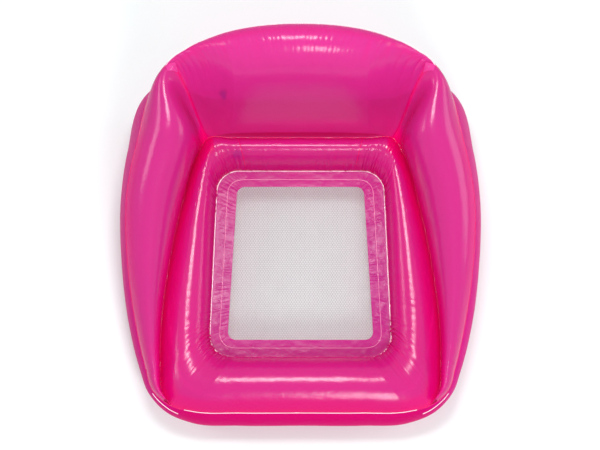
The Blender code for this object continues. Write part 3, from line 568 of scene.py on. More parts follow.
def flange_waves(points):
    """Upward waves of both flange films together: short folds that cross the
    flange from the weld to the mesh, none at the weld itself."""
    distance, total = seam_run(points[:, 0])
    share = np.linspace(0, 1, FLANGE_COLUMNS + 1)[None, :-1]
    across = np.sin(pi * np.clip(share * 0.75 + 0.25, 0, 1)) ** 0.8
    fold = 0.7 * pleats(distance, total, FLANGE_FOLD, 77, drift=share * 3.0)
    fold = fold + 0.4 * pleats(distance, total, FLANGE_CRINKLE, 79, drift=share * 4.5)
    wave = np.zeros(points.shape[:2])
    strength = np.interp(RING_STATIONS, range(13), FLANGE_STRENGTH)[:, None]
    wave[:, :FLANGE_COLUMNS] = fold * across * FLANGE_WAVE * strength
    return wave


def ring_core(keys):
    """The middle line of the ring's air space."""
    middle = (weld(keys, 1) + seam(WIDEST, keys)) / 2
    middle[:, 2] = RING_HEIGHT / 2
    return middle


CORE = round_ring(ring_core(RING_KEYS))
bottom = round_ring(bottom_points(RING_KEYS))
waves = flange_waves(bottom)
bottom_strength = (0.3, 0.4, 0.8, 1.0, 0.9, 0.5, 0.3, 0.3, 0.3, 0.7, 1.0, 0.8, 0.3)
bottom_seams = (
    (0, 0.012, 0.022, 0.0007, bottom_strength),
    (-1, 0.014, 0.014, 0.0006, bottom_strength),
)
GROUND_CLEAR = 0.004
GROUND_FADE = 0.010
ground_share = np.clip((bottom[:, FLANGE_COLUMNS:, 2] - GROUND_CLEAR) / GROUND_FADE, 0, 1)
bottom, _, faces_up = gathered(
    bottom, CORE, RING_STATIONS, bottom_seams, 11, True, FLANGE_COLUMNS, ground_share,
)
bottom[:, :, 2] += waves
bottom_film = sheet_object("bottom_film", bottom, faces_up, True, RING_FILM)


def cut_round(made, centre, radius):
    """Drops the faces round a valve stem, so that it passes the film."""
    mesh = made.data
    at = np.empty(len(mesh.polygons) * 3)
    mesh.polygons.foreach_get("center", at)
    near = np.linalg.norm(at.reshape(-1, 3) - centre, axis=1) < radius
    shape = bmesh.new()
    shape.from_mesh(mesh)
    shape.faces.ensure_lookup_table()
    dropped = [shape.faces[int(index)] for index in np.flatnonzero(near)]
    bmesh.ops.delete(shape, geom=dropped, context="FACES")
    shape.to_mesh(mesh)
    shape.free()


SEAT_VALVE = np.array((-0.1806, 0.27715, 0.01471))
STEM_OPENING = 0.0075
cut_round(bottom_film, SEAT_VALVE, STEM_OPENING)
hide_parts("bottom_sheet")

# Inner webs: strips of the same film that stand inside the ring under each
# arm and hold the valley seam down, so that arm and rail keep two rolls.
VALLEY = np.array((
    (0.700, 0.051, 0.80), (0.751, 0.096, 0.73), (0.763, 0.165, 0.70), (0.761, 0.303, 0.70),
    (0.722, 0.485, 0.70), (0.660, 0.656, 0.73), (0.574, 0.815, 0.79), (0.511, 0.859, 0.90),
    (0.382, 0.859, 0.90), (0.000, 0.859, 0.90),
)) * (HALF_WIDTH, RING_LENGTH, RING_HEIGHT)
WEB_KEYS = np.linspace(4.34, 9.24, 150)
WEB_ROWS = 14
WEB_TOP_GAP = 0.0016
WEB_FOOT_GAP = 0.0012
WEB_BOW = 0.0022
WEB_WAVE = 0.05
WEB_RUN = 0.7
WEB_FILM = film("web_film", (0.86, 0.010, 0.22), 0.50)
SIDES = (("right", np.ones(3)), ("left", MIRROR))


def web_points(keys):
    """Valley seam at the top, down to just above the bottom sheet."""
    top = seam(VALLEY, keys, 3) - (0, 0, WEB_TOP_GAP)
    row, inner = bottom_points(keys), weld(keys, -1)
    reach = np.linalg.norm((top - inner)[:, :2], axis=1)
    runs = np.linalg.norm((row - inner[:, None])[:, FLANGE_COLUMNS:, :2], axis=2)
    heights = row[:, FLANGE_COLUMNS:, 2]
    floor_height = np.array([np.interp(r, run, z) for r, run, z in zip(reach, runs, heights)])
    low = top.copy()
    low[:, 2] = floor_height + WEB_FOOT_GAP
    share = np.linspace(0, 1, WEB_ROWS)[None, :, None]
    return top[:, None] * (1 - share) + low[:, None] * share


web = web_points(WEB_KEYS)
web_waves = pleats(run_length(web[:, 0])[:, None], WEB_RUN, WEB_WAVE, 21)
web_bow = web_waves * np.sin(np.linspace(0, pi, WEB_ROWS))[None] * WEB_BOW
web_across = level_unit(np.cross(np.gradient(web[:, 0], axis=0), (0, 0, 1)))
web = web + web_across[:, None] * web_bow[:, :, None]
for side, mirror in SIDES:
    piece = sheet_object("inner_web_" + side, web * mirror, side == "right", False, WEB_FILM)
    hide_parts("arm_web_" + side)

# Seat top sheet: the film that rises from the opening's weld over the seat
# rail and down to the valley. Its welds gather it, most at the four corners.
SHOULDER = np.array((
    (0.000, 0.029, 0.82, 0.00), (0.324, 0.029, 0.82, 0.00), (0.577, 0.033, 0.82, 0.00),
    (0.700, 0.051, 0.80, 0.00), (0.798, 0.094, 0.80, 0.05), (0.836, 0.159, 0.81, 0.11),
    (0.893, 0.298, 0.82, 0.24), (0.935, 0.483, 0.82, 0.49), (0.934, 0.658, 0.82, 0.72),
    (0.871, 0.821, 0.82, 0.90), (0.787, 0.972, 0.82, 0.88), (0.483, 0.971, 0.82, 0.30),
    (0.000, 0.971, 0.82, 0.12),
)) * (HALF_WIDTH, RING_LENGTH, RING_HEIGHT, ARM_RISE) @ ((1, 0, 0), (0, 1, 0), (0, 0, 1), (0, 0, 1))
RAIL_CRESTS = (1, 1, 0.995, 0.95, 0.927, 0.917, 0.917, 0.917, 0.927, 0.95, 0.976, 0.985, 0.985)
RAIL_ENDS = np.radians((141, 141, 141, 143, 150, 150, 150, 150, 150, 150, 150, 150, 150))
RAIL_COLUMNS = 40


def valley(keys):
    """The valley seam, which is the shoulder seam across the front."""
    front, rest = seam(SHOULDER, keys), seam(VALLEY, np.maximum(keys, 3), 3)
    return np.where((keys <= 3)[:, None], front, rest)


def top_points(keys):
    """Mesh edge, weld, rail crest and valley seam of each station."""
    start, end = weld(keys, 1), valley(keys)
    crest = (start + end) / 2
    crest[:, 2] = RING_HEIGHT * np.interp(keys, range(13), RAIL_CRESTS)
    last = np.interp(keys, range(13), RAIL_ENDS)
    points = arch(start, crest, end, last, last[:, None] * np.linspace(0, 1, RAIL_COLUMNS))
    away = points[:, -2] - points[:, -1]
    points[:, -1] += away / np.linalg.norm(away, axis=1, keepdims=True) * SEAM_GAP
    return np.concatenate((flange(keys, 1), points), axis=1)


top = round_ring(top_points(RING_KEYS))
weld_strength = (0.02, 0.03, 0.30, 1.0, 1.0, 0.65, 0.06, 0.03, 0.04, 0.60, 1.0, 0.80, 0.03)
slow_strength = (0.15, 0.2, 0.5, 0.9, 0.9, 0.7, 0.3, 0.25, 0.3, 0.8, 0.9, 0.6, 0.15)
valley_strength = (0.1, 0.3, 0.6, 0.8, 1.0, 0.8, 0.4, 0.3, 0.3, 0.6, 0.9, 0.5, 0.3)
top_seams = (
    (0, 0.0165, 0.066, 0.0058, weld_strength),
    (0, 0.034, 0.080, 0.0024, slow_strength),
    (-1, 0.014, 0.020, 0.0009, valley_strength),
)
top, crease_shade, faces_up = gathered(top, CORE, RING_STATIONS, top_seams, 31, True, FLANGE_COLUMNS)
top[:, :FLANGE_COLUMNS, 2] += waves[:, :FLANGE_COLUMNS]


def within(distance, width, soft):
    """1 nearer than the width, 0 further, with an S-shaped edge between."""
    return 1 / (1 + np.exp(np.clip((distance - width) / soft, -40, 40)))


def hump(distance, width, at=0.0):
    """A bell: 1 at the given distance, falling by the square of what is left
    over the width."""
    return np.exp(-((distance - at) / width) ** 2)


def by_station(stations, at, values):
    """Values between stations, as a column."""
    return np.interp(stations, at, values)[:, None]


RED_AT = (0, 2, 3, 4, 6, 7, 8, 9, 10, 10.2, 12)
RED_WIDTHS = (0.009, 0.009, 0.010, 0.013, 0.013, 0.012, 0.022, 0.036, 0.042, 0.004, 0.003)
MAGENTA_WIDTHS = (0.036, 0.036, 0.036, 0.046, 0.044, 0.036, 0.030, 0.038, 0.044, 0.010, 0.009)
# Flange colour by station: deeper at the front and rear, nearly the film's own colour along the
# sides. It follows where the flat flange misses and catches the top lamp's reflection: painted
# shade at front and rear, painted reflection along the sides.
FLANGE_SHADE_AT = (0, 2, 4, 5, 7.8, 8.8, 12)
FLANGE_SHADE_DEPTHS = (0.30, 0.28, 0.18, 0.02, 0.02, 0.42, 0.46)
from_valley = np.linalg.norm((top - top[:, -1:])[:, :, :2], axis=2)
from_mesh = run_length(top)
from_weld = from_mesh - from_mesh[:, FLANGE_COLUMNS:FLANGE_COLUMNS + 1]
top_deep = 0.5 * within(from_valley, by_station(RING_STATIONS, RED_AT, MAGENTA_WIDTHS), 0.004)
top_deep += 0.5 * within(from_valley, by_station(RING_STATIONS, RED_AT, RED_WIDTHS), 0.0015)
top_deep = np.maximum(top_deep, 0.48 * hump(from_weld, 0.006, at=0.010))
# Painted shade in the crease valleys of the gathers, partly the fuller colour of the folded film.
top_deep[:, FLANGE_COLUMNS:] = np.maximum(top_deep[:, FLANGE_COLUMNS:], 0.70 * crease_shade)
# The flange takes its painted shade and painted reflection by station.
flange_shade_depth = by_station(RING_STATIONS, FLANGE_SHADE_AT, FLANGE_SHADE_DEPTHS)
top_deep = np.where(from_weld < 0, flange_shade_depth, top_deep)
top_film = sheet_object("seat_top_film", top, faces_up, True, RING_FILM, top_deep)
# The flange film is a darker, duller copy of the ring film: painted shade against the light that
# its flat upward face catches.
FLANGE_SHADED_FILM = film(
    "flange_film_painted_shade", (0.46, 0.008, 0.22), 0.86, deep=(0.52, 0.001, 0.22), shine=0.17, clouding=0.30,
)
top_film.data.materials.append(FLANGE_SHADED_FILM)
face_columns = top.shape[1] - 1
in_flange = np.broadcast_to(np.arange(face_columns) < FLANGE_COLUMNS, (len(top), face_columns))
top_film.data.polygons.foreach_set("material_index", in_flange.astype(np.int32).ravel())
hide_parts("seat_top_sheet")

# Mesh seat: a white knitted net, stretched flat and caught between the two
# flange films all round. Its six-sided gaps stand in staggered rows.
GAP_PITCH = 0.00709
ROW_PITCH = 0.00535
NET_THICKNESS = 0.0007
NET_HEM = 0.0055
NET_CORNER = 0.024
NET_SPAN = 0.42
GAP_SHARE = 0.74
GAP_STRETCH = 1.08
# The yarn is white; these two light greys paint shade onto it, and random blotches vary it between
# them.
KNIT_SHADED_DARK = (0.59, 0.66, 0.65)
KNIT_SHADED_LIGHT = (0.65, 0.72, 0.71)
KNIT_ROUGHNESS = 0.75
KNIT_SHEEN = 0.15
BLOTCH_SCALE = 14
TWIST_SCALE = 1600
TWIST_DEPTH = 0.0003


def knit_material():
    """White knitted polyester, given a light grey as painted shade: matt, with a fine twist along
    the yarns.
    """
    made, tree, body = new_material("white_knit_painted_shade")
    blotches = noise(tree, BLOTCH_SCALE)
    wire(tree, body, {
        "Base Color": mixed(tree, blotches, (*KNIT_SHADED_DARK, 1), (*KNIT_SHADED_LIGHT, 1)),
        "Normal": bumped(tree, noise(tree, TWIST_SCALE), TWIST_DEPTH),
        "Roughness": KNIT_ROUGHNESS, "Sheen Weight": KNIT_SHEEN,
    })
    return made


def net_mesh():
    """A staggered net.  Each gap is a six-sided hole inside a six-sided cell;
    neighbouring cells share their corners, which stand proud above and below,
    so every yarn between two gaps has a lozenge section."""
    front = WELD_SETBACK + MESH_FRONT_INSET - NET_HEM
    rear = WELD_SETBACK + WELD_LENGTH - MESH_REAR_INSET + NET_HEM
    rows = int((rear - front) / ROW_PITCH)
    columns = int(NET_SPAN / GAP_PITCH)
    beside = np.arange(-columns // 2, columns // 2 + 1)
    row, column = np.meshgrid(np.arange(rows), beside, indexing="ij")
    x = (column + 0.5 * (row % 2)) * GAP_PITCH
    y = (front + rear) / 2 + (row - (rows - 1) / 2) * ROW_PITCH
    share = (y - front) / (rear - front)
    front_room = WELD_FRONT_HALF - MESH_FRONT_SIDE_INSET
    rear_room = WELD_REAR_HALF - MESH_REAR_SIDE_INSET
    room = front_room * (1 - share) + rear_room * share + NET_HEM
    corner = np.maximum(np.abs(x) - (room - NET_CORNER), 0) ** 2
    end = np.maximum(np.abs(y - (front + rear) / 2) - ((rear - front) / 2 - NET_CORNER), 0) ** 2
    kept = (np.abs(x) < room - GAP_PITCH / 2) & (corner + end < (NET_CORNER - GAP_PITCH / 2) ** 2)
    x, y = x[kept], y[kept]
    around = np.array((
        (0, 2 / 3), (0.5, 1 / 3), (0.5, -1 / 3), (0, -2 / 3), (-0.5, -1 / 3), (-0.5, 1 / 3),
    ))
    cell = around * (GAP_PITCH, ROW_PITCH)
    cells = np.stack((x, y), -1)[:, None] + cell
    holes = np.stack((x, y), -1)[:, None] + cell * GAP_SHARE * (1.0, GAP_STRETCH)
    grid = np.round(cells.reshape(-1, 2) / (GAP_PITCH / 6, ROW_PITCH / 6)).astype(int)
    _, first, shared = np.unique(grid, axis=0, return_index=True, return_inverse=True)
    corners = cells.reshape(-1, 2)[first]
    shared = shared.reshape(-1, 6)
    rims = holes.reshape(-1, 2)
    count = len(corners)
    heights = np.repeat((NET_THICKNESS / 2, -NET_THICKNESS / 2, 0), (count, count, len(rims)))
    points = np.column_stack((np.vstack((corners, corners, rims)), heights + FLANGE_HEIGHT))
    rim_index = 2 * count + np.arange(len(rims)).reshape(-1, 6)
    ahead, rim_ahead = np.roll(shared, -1, axis=1), np.roll(rim_index, -1, axis=1)
    upper = np.stack((shared, rim_index, rim_ahead, ahead), -1).reshape(-1, 4)
    lower = np.stack((shared + count, ahead + count, rim_ahead, rim_index), -1).reshape(-1, 4)
    pairs = np.stack((shared, ahead), -1).reshape(-1, 2)
    keys = np.sort(pairs, axis=1) @ (1, count)
    names, times = np.unique(keys, return_counts=True)
    lone = pairs[np.isin(keys, names[times == 1])]
    edge = np.stack((lone[:, 0], lone[:, 1], lone[:, 1] + count, lone[:, 0] + count), -1)
    return points, np.vstack((upper, lower, edge))


net_points, net_faces = net_mesh()
net = bpy.data.meshes.new("mesh_net")
net.from_pydata((net_points - (0, MIDDLE, 0)).tolist(), [], net_faces.tolist())
net.shade_smooth()
net.materials.append(knit_material())
mesh_net = bpy.data.objects.new("mesh_net", net)
bpy.context.scene.collection.objects.link(mesh_net)
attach(mesh_net, "film")
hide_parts("mesh_seat")

# Outer wall: the upright strip of film round the whole chair, from the
# shoulder seam out over the widest line and in to the bottom seam.
# Its upper edge is dull and its lower half glossier, which a mask gives it.
WALL_COLUMNS = 26
WALL_EDGES = (0.0015, 0.9985)
WALL_FULLNESS = 0.8
WALL_DEPTH_AT = (0, 2.2, 3.2, 4, 8, 10, 12)
WALL_DEPTHS = (0.85, 0.85, 0.50, 0.20, 0.14, 0.16, 0.20)
WALL_GLOSS = 0.9
WALL_GLOSS_ROUGHNESS = 0.16
WALL_GLOSS_FROM = 0.46
WALL_GLOSS_FADE = 0.14
WALL_FILM = film(
    "wall_film", (0.70, 0.016, 0.28), 0.84, deep=(0.72, 0.001, 0.22), red=(0.74, 0.001, 0.15),
    roughness=0.32, shine=0.008,
)
wall_tree = WALL_FILM.node_tree
gloss = add_node(wall_tree, "ShaderNodeAttribute", attribute_name="gloss")
wire(wall_tree, wall_tree.nodes["Principled BSDF"], {
    "Coat Weight": gloss.outputs["Fac"], "Coat Roughness": WALL_GLOSS_ROUGHNESS,
})


def wall_points(keys):
    """Shoulder seam, widest line and bottom seam: a flattened parabola."""
    high, low = seam(SHOULDER, keys), bottom_seam(keys)
    bulge = seam(WIDEST, keys) - (high + low) / 2
    share = np.linspace(*WALL_EDGES, WALL_COLUMNS)[None, :, None]
    standing_out = bulge[:, None] * (4 * share * (1 - share)) ** WALL_FULLNESS
    return high[:, None] + (low - high)[:, None] * share + standing_out


wall = round_ring(wall_points(RING_KEYS))
wall_strength = (0.3, 0.5, 0.9, 1.0, 0.8, 0.5, 0.3, 0.3, 0.4, 0.7, 0.9, 0.7, 0.3)
wall_seams = (
    (0, 0.013, 0.018, 0.0008, wall_strength),
    (-1, 0.015, 0.016, 0.0007, wall_strength),
)
wall, crease_shade, faces_up = gathered(wall, CORE, RING_STATIONS, wall_seams, 51, closed=True)
wall_depth = by_station(RING_STATIONS, WALL_DEPTH_AT, WALL_DEPTHS)
wall_share = np.linspace(0, 1, wall.shape[1])[None]
# The wall's creases take painted shade through the deep mask, partly the fuller colour of folded
# film.
wall_deep = np.maximum(wall_depth * (1 - 0.25 * wall_share), 0.35 * crease_shade)
wall_film = sheet_object("outer_wall_film", wall, faces_up, True, WALL_FILM, wall_deep)
gloss_row = WALL_GLOSS * np.clip((wall_share - WALL_GLOSS_FROM) / WALL_GLOSS_FADE, 0, 1)
gloss_mask = wall_film.data.attributes.new("gloss", "FLOAT", "POINT").data
gloss_mask.foreach_set("value", np.broadcast_to(gloss_row, wall.shape[:2]).ravel())
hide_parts("outer_wall")

# Arm covers: the film over each arm roll, from the valley seam up and over to
# the shoulder seam. Each arm is thin at its front tip and rises to the rear.
CREST = np.array((
    (0.704, 0.053, 0.00, 0.84, 0.00, 0.000), (0.776, 0.097, 0.00, 0.96, 0.01, 0.000),
    (0.800, 0.161, 0.00, 1.00, 0.08, 0.000), (0.828, 0.299, 0.00, 1.00, 0.27, 0.000),
    (0.828, 0.480, 0.00, 1.00, 0.52, 0.000), (0.797, 0.652, 0.00, 1.00, 0.77, 0.000),
    (0.714, 0.814, 0.00, 1.00, 1.00, 0.000), (0.688, 0.859, 0.74, 1.00, 1.00, 0.230),
    (0.412, 0.859, 0.92, 1.00, 1.00, 0.780), (0.000, 0.859, 1.00, 1.00, 1.00, 1.000),
)) * (HALF_WIDTH, RING_LENGTH, BACK_RECLINE, RING_HEIGHT, ARM_RISE, BACK_RISE)
CREST = CREST @ ((1, 0, 0), (0, 1, 0), (0, 1, 0), (0, 0, 1), (0, 0, 1), (0, 0, 1))
OVER_ENDS = np.radians((135, 135, 135, 135, 135, 135, 136, 150, 172, 176))
OVER_POWERS = (0.90, 0.85, 0.80, 0.76, 0.74, 0.76, 0.82, 0.85, 0.68, 0.65)
OVER_BELLIES = (0, 0.05, 0.1, 0.1, 0.1, 0.12, 0.30, 0.1, 0.9, 1)
OVER_SPREADS = (0.3, 0.3, 0.3, 0.3, 0.3, 0.3, 0.4, 0.95, 0, 0)
SHARP_CREST = radians(108)
CREASE_POWER = 0.9
CREASE_REACH = 0.8
DIMPLE_REACH = 0.35
DIMPLE_SHARE = 0.05
ARM_SWELL = (0.007, 9.68, 0.22)
CORNER_DRAW = (0.006, 10.35, 0.24)
JUNCTION_KEY = 10.0
ARM_FILM = film("arm_film", (0.64, 0.022, 0.27), 0.70, shine=0.40)


def over_points(keys, low, high, columns):
    """The arch over an arm or the backrest between two shares of its sweep:
    0 at the valley seam, 1 at the sharp crest line, 2 at the shoulder seam.
    The crest dips a little at the junction, swells outward just before it and
    draws in just after it."""
    start, crest, end = seam(VALLEY, keys, 3), seam(CREST, keys, 3), seam(SHOULDER, keys)
    last = smooth(OVER_ENDS, keys)
    near = np.maximum(1 - np.abs(keys - JUNCTION_KEY) / DIMPLE_REACH, 0)[:, None]
    beside = np.maximum(1 - np.abs(keys - JUNCTION_KEY) / CREASE_REACH, 0)
    crest = crest - (crest - (start + end) / 2) * DIMPLE_SHARE * near * near
    out, draw = (height * hump(keys, width, at) for height, at, width in (ARM_SWELL, CORNER_DRAW))
    crest = crest + level_unit(end - start) * (out - draw)[:, None]
    share = np.linspace(low, high, columns)[None]
    beyond = np.maximum(share - 1, 0) * (last[:, None] - SHARP_CREST)
    angles = np.minimum(share, 1) * SHARP_CREST + beyond
    bellies = np.maximum(smooth(OVER_BELLIES, keys), 0) * BACK_BELLY
    spreads = np.maximum(smooth(OVER_SPREADS, keys), 0)
    return arch(start, crest, end, last, angles, smooth(OVER_POWERS, keys), bellies, spreads,
                CREASE_POWER * beside * beside)


ARM_COLUMNS = 54
arm_keys = np.linspace(3.35, 9.995, 340)
arm = over_points(arm_keys, 0.006, 1.99, ARM_COLUMNS)
arm_core = (seam(VALLEY, arm_keys, 3) + seam(SHOULDER, arm_keys)) / 2 - (0, 0, 0.03)
arm_strength = (0, 0, 0, 1.0, 1.0, 0.8, 0.25, 0.05, 0.10, 0.4, 1.0, 0.5, 0.3)
shoulder_strength = (0, 0, 0, 1.0, 0.9, 0.7, 0.5, 0.4, 0.4, 0.6, 1.0, 0.5, 0.3)
arm_seams = (
    (0, 0.011, 0.030, 0.0016, arm_strength),
    (0, 0.030, 0.060, 0.0012, arm_strength),
    (-1, 0.013, 0.020, 0.0008, shoulder_strength),
)
arm, crease_shade, faces_up = gathered(arm, arm_core, arm_keys, arm_seams, 71)
from_valley = np.linalg.norm((arm - arm[:, :1])[:, :, :2], axis=2)
from_shoulder = run_length(arm)[:, -1:] - run_length(arm)
from_junction = np.linalg.norm(arm - arm[-1:], axis=2)
ARM_RED_AT = (3.3, 9.0, 9.4, 9.7, 10)
ARM_RED_WIDTHS = (0.002, 0.002, 0.007, 0.018, 0.030)
arm_red = by_station(arm_keys, ARM_RED_AT, ARM_RED_WIDTHS)
arm_deep = np.maximum.reduce((
    within(from_valley, arm_red, 0.002),
    0.45 * within(from_valley, arm_red + 0.006, 0.002),
    0.60 * hump(from_junction, 0.006),
    0.36 * hump(from_shoulder, 0.024, at=0.004),
    # painted shade in the creases, partly the fuller colour of folded film
    0.35 * crease_shade,
))
for side, mirror in SIDES:
    side_up = faces_up == (side == "right")
    piece = sheet_object("arm_film_" + side, arm * mirror, side_up, False, ARM_FILM, arm_deep)
    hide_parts("arm_cover_" + side)

# Backrest: a leaning air cushion of four kinds of sheet. A front and a rear
# film meet along the top ridge, a floor closes it below, and an end wall
# closes it at each arm.
BACK_FRONT_COLUMNS = 70
BACK_REAR_COLUMNS = 44
BACK_FLOOR_ROWS = 20
BACK_FLOOR_SAG = 0.030
END_COLUMNS = 41
END_ROWS = 12
BACK_FILM = film("backrest_film", (0.72, 0.032, 0.33), 0.57, roughness=0.20)
INNER_FILM = film("inner_film", (0.92, 0.060, 0.38), 0.40)


def both_ways(half):
    """Both halves of the backrest from the right half."""
    return np.concatenate((half, half[-2::-1] * MIRROR))


corner_keys = 10.004 + (np.linspace(0, 1, 130) ** 1.3) * 0.996
back_keys = np.concatenate((corner_keys, np.linspace(11, 12, 110)[1:]))
back_stations = np.concatenate((back_keys, back_keys[-2::-1]))
back_frame = over_points(back_keys, 0, 2, 3)
back_core = both_ways((back_frame[:, 0] + back_frame[:, 2]) / 2)
ridge_strength = (0, 0, 0, 0, 0, 0, 0, 0, 0, 0, 1.2, 0.8, 0.45)
foot_strength = (0, 0, 0, 0, 0, 0, 0, 0, 0, 0, 1.2, 0.5, 0.2)
back_front = both_ways(over_points(back_keys, 0.008, 0.998, BACK_FRONT_COLUMNS))
front_seams = (
    (0, 0.012, 0.022, 0.0008, foot_strength),
    (-1, 0.012, 0.024, 0.0009, ridge_strength),
    (-1, 0.045, 0.080, 0.0016, ridge_strength),
)
back_front, crease_shade, faces_up = gathered(back_front, back_core, back_stations, front_seams, 91)
ends = (back_front[:1], back_front[-1:])
from_end = np.minimum(*(np.linalg.norm(back_front - end, axis=2) for end in ends))
from_foot = run_length(back_front)
from_ridge = from_foot[:, -1:] - from_foot
back_deep = np.maximum.reduce((
    0.06 * hump(from_foot, 0.075) + 0.22 * hump(from_ridge, 0.010, at=0.030),
    0.60 * hump(from_end, 0.007),
    # painted shade in the creases, partly the fuller colour of folded film
    0.30 * crease_shade,
))
front_film = sheet_object("backrest_front_film", back_front, faces_up, False, BACK_FILM, back_deep)
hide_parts("backrest_front_sheet")
back_rear = both_ways(over_points(back_keys, 1.002, 1.996, BACK_REAR_COLUMNS))
rear_seams = (
    (0, 0.012, 0.022, 0.0008, ridge_strength),
    (-1, 0.013, 0.022, 0.0008, foot_strength),
)
back_rear, _, faces_up = gathered(back_rear, back_core, back_stations, rear_seams, 111)
rear_film = sheet_object("backrest_rear_film", back_rear, faces_up, False, BACK_FILM)
BACK_VALVE = np.array((-0.21223, 0.39436, 0.23501))
cut_round(rear_film, BACK_VALVE, STEM_OPENING)
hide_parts("backrest_rear_sheet")

# The floor sags between its two seams by half a sine wave.
floor_share = np.linspace(0.01, 0.99, BACK_FLOOR_ROWS)[None, :, None]
floor_from, floor_to = seam(VALLEY, back_keys, 3)[:, None], seam(SHOULDER, back_keys)[:, None]
floor_sag = np.array((0, 0, BACK_FLOOR_SAG)) * np.sin(pi * floor_share)
back_floor = floor_from + (floor_to - floor_from) * floor_share - floor_sag
floor_film = sheet_object("backrest_floor_film", both_ways(back_floor), False, False, INNER_FILM)
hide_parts("backrest_floor")

# Each end wall is flat: it fills the arch where an arm meets the backrest.
end_arch = over_points(np.array((JUNCTION_KEY,)), 0, 2, END_COLUMNS)[0]
end_base = end_arch[0] + (end_arch[-1] - end_arch[0]) * np.linspace(0, 1, END_COLUMNS)[:, None]
share = np.linspace(0.02, 0.98, END_ROWS)[None, :, None]
end_wall = (end_arch[:, None] * (1 - share) + end_base[:, None] * share)[1:-1]
for side, mirror in SIDES:
    side_up = side == "right"
    piece = sheet_object("backrest_end_film_" + side, end_wall * mirror, side_up, False, INNER_FILM)
    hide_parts("backrest_end_" + side)

# Corner patches: small lozenges of film welded over the meeting point of arm
# and backrest, where three seams come together.
PATCH_FILM = film("patch_film", (0.80, 0.040, 0.35), 0.75, roughness=0.10, bump=0.0030)
PATCH_REACH = 0.017
PATCH_LIFT = 0.0026
PATCH_POINTS = 17
PATCH_COLUMNS = 61
PATCH_MIDDLE = 25
PATCH_SPAN = 4.2
PATCH_TIP = 0.1
PATCH_SIDE_KEYS = 0.2


def between_columns(rows, places):
    """The point of each row at a place between two of its columns."""
    low = places.astype(int)
    part = (places - low)[:, None]
    row = np.arange(len(places))
    return rows[row, low] * (1 - part) + rows[row, low + 1] * part


def patch_points():
    """A lozenge over the junction's arch: from the arch each row reaches out
    to the arm on one side and to the backrest on the other, least at its tips.
    With it comes the middle of the arch's foot."""
    along_arch = np.linspace(-1, 1, PATCH_POINTS)
    places = PATCH_MIDDLE + along_arch * PATCH_SPAN
    arch_keys = JUNCTION_KEY + np.array((0, -PATCH_SIDE_KEYS, PATCH_SIDE_KEYS))
    arches = over_points(arch_keys, 0, 2, PATCH_COLUMNS)
    rows = np.broadcast_to(arches[:, None], (3, PATCH_POINTS, PATCH_COLUMNS, 3))
    root, arm_side, back_side = (between_columns(line, places) for line in rows)
    ways = (arm_side - root, back_side - root)
    to_arm, to_back = (way / np.linalg.norm(way, axis=1, keepdims=True) for way in ways)
    across = np.linspace(-1, 1, PATCH_POINTS)[None, :, None]
    reach = PATCH_REACH * ((1 - np.abs(along_arch)) * (1 - PATCH_TIP) + PATCH_TIP)
    away = np.where(across < 0, to_arm[:, None], to_back[:, None])
    core = (arches[0, 0] + arches[0, -1]) / 2
    return root[:, None] + away * reach[:, None, None] * np.abs(across), core


patch, junction_middle = patch_points()
patch_core = np.broadcast_to(junction_middle, (len(patch), 3))
normals, faces_up = outward_normals(patch, patch_core)
patch = patch + normals * PATCH_LIFT
for side, mirror in SIDES:
    side_up = faces_up == (side == "right")
    piece = sheet_object("corner_patch_film_" + side, patch * mirror, side_up, False, PATCH_FILM)
    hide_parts("corner_patch_" + side)

# Weld beads: where two films are welded by heat, a narrow ridge of melted
# vinyl stands along the seam. It is glossier than the film. Round the opening,
# across the front, over the arm tips and along the backrest ridge the bead's
# near-white colour is a painted highlight.
# Near-white bead colour: a painted highlight on the welds that use it.
BEAD_PAINTED_HIGHLIGHT = film("weld_bead_painted_highlight", (1.0, 0.80, 0.90), 0.97, roughness=0.10, bump=0.0004)
BEAD_LIGHT = film("weld_bead_light", (0.95, 0.30, 0.55), 0.90, roughness=0.12, bump=0.0004)
BEAD_DEEP = film("weld_bead_deep", (0.85, 0.002, 0.16), 0.85, roughness=0.14, bump=0.0004)
BEAD_WIDE, BEAD_USUAL, BEAD_NARROW, BEAD_SLIM, BEAD_FINE = 0.0014, 0.0012, 0.0010, 0.0009, 0.0008
BEAD_LIFT = 0.0012
LAP_LIFT = 0.0004
HEM_BEAD_LIFT = 0.0003
BEAD_SIDES = 8
HEM_COLUMN = 5


def bead(name, line, radius, shade, closed=False):
    """A thin round ridge carried along a seam: a circle of eight points in
    the plane across the line at each station."""
    run = np.roll(line, -1, 0) - np.roll(line, 1, 0) if closed else np.gradient(line, axis=0)
    run /= np.linalg.norm(run, axis=1, keepdims=True)
    side = np.cross(run, (0, 0, 1))
    side /= np.linalg.norm(side, axis=1, keepdims=True)
    up = np.cross(side, run)
    angle = np.linspace(0, 2 * pi, BEAD_SIDES + 1)[None, :, None]
    points = line[:, None] + (side[:, None] * np.cos(angle) + up[:, None] * np.sin(angle)) * radius
    faces_up = outward_normals(points, line, closed)[1]
    sheet_object(name, points, faces_up, closed, shade)


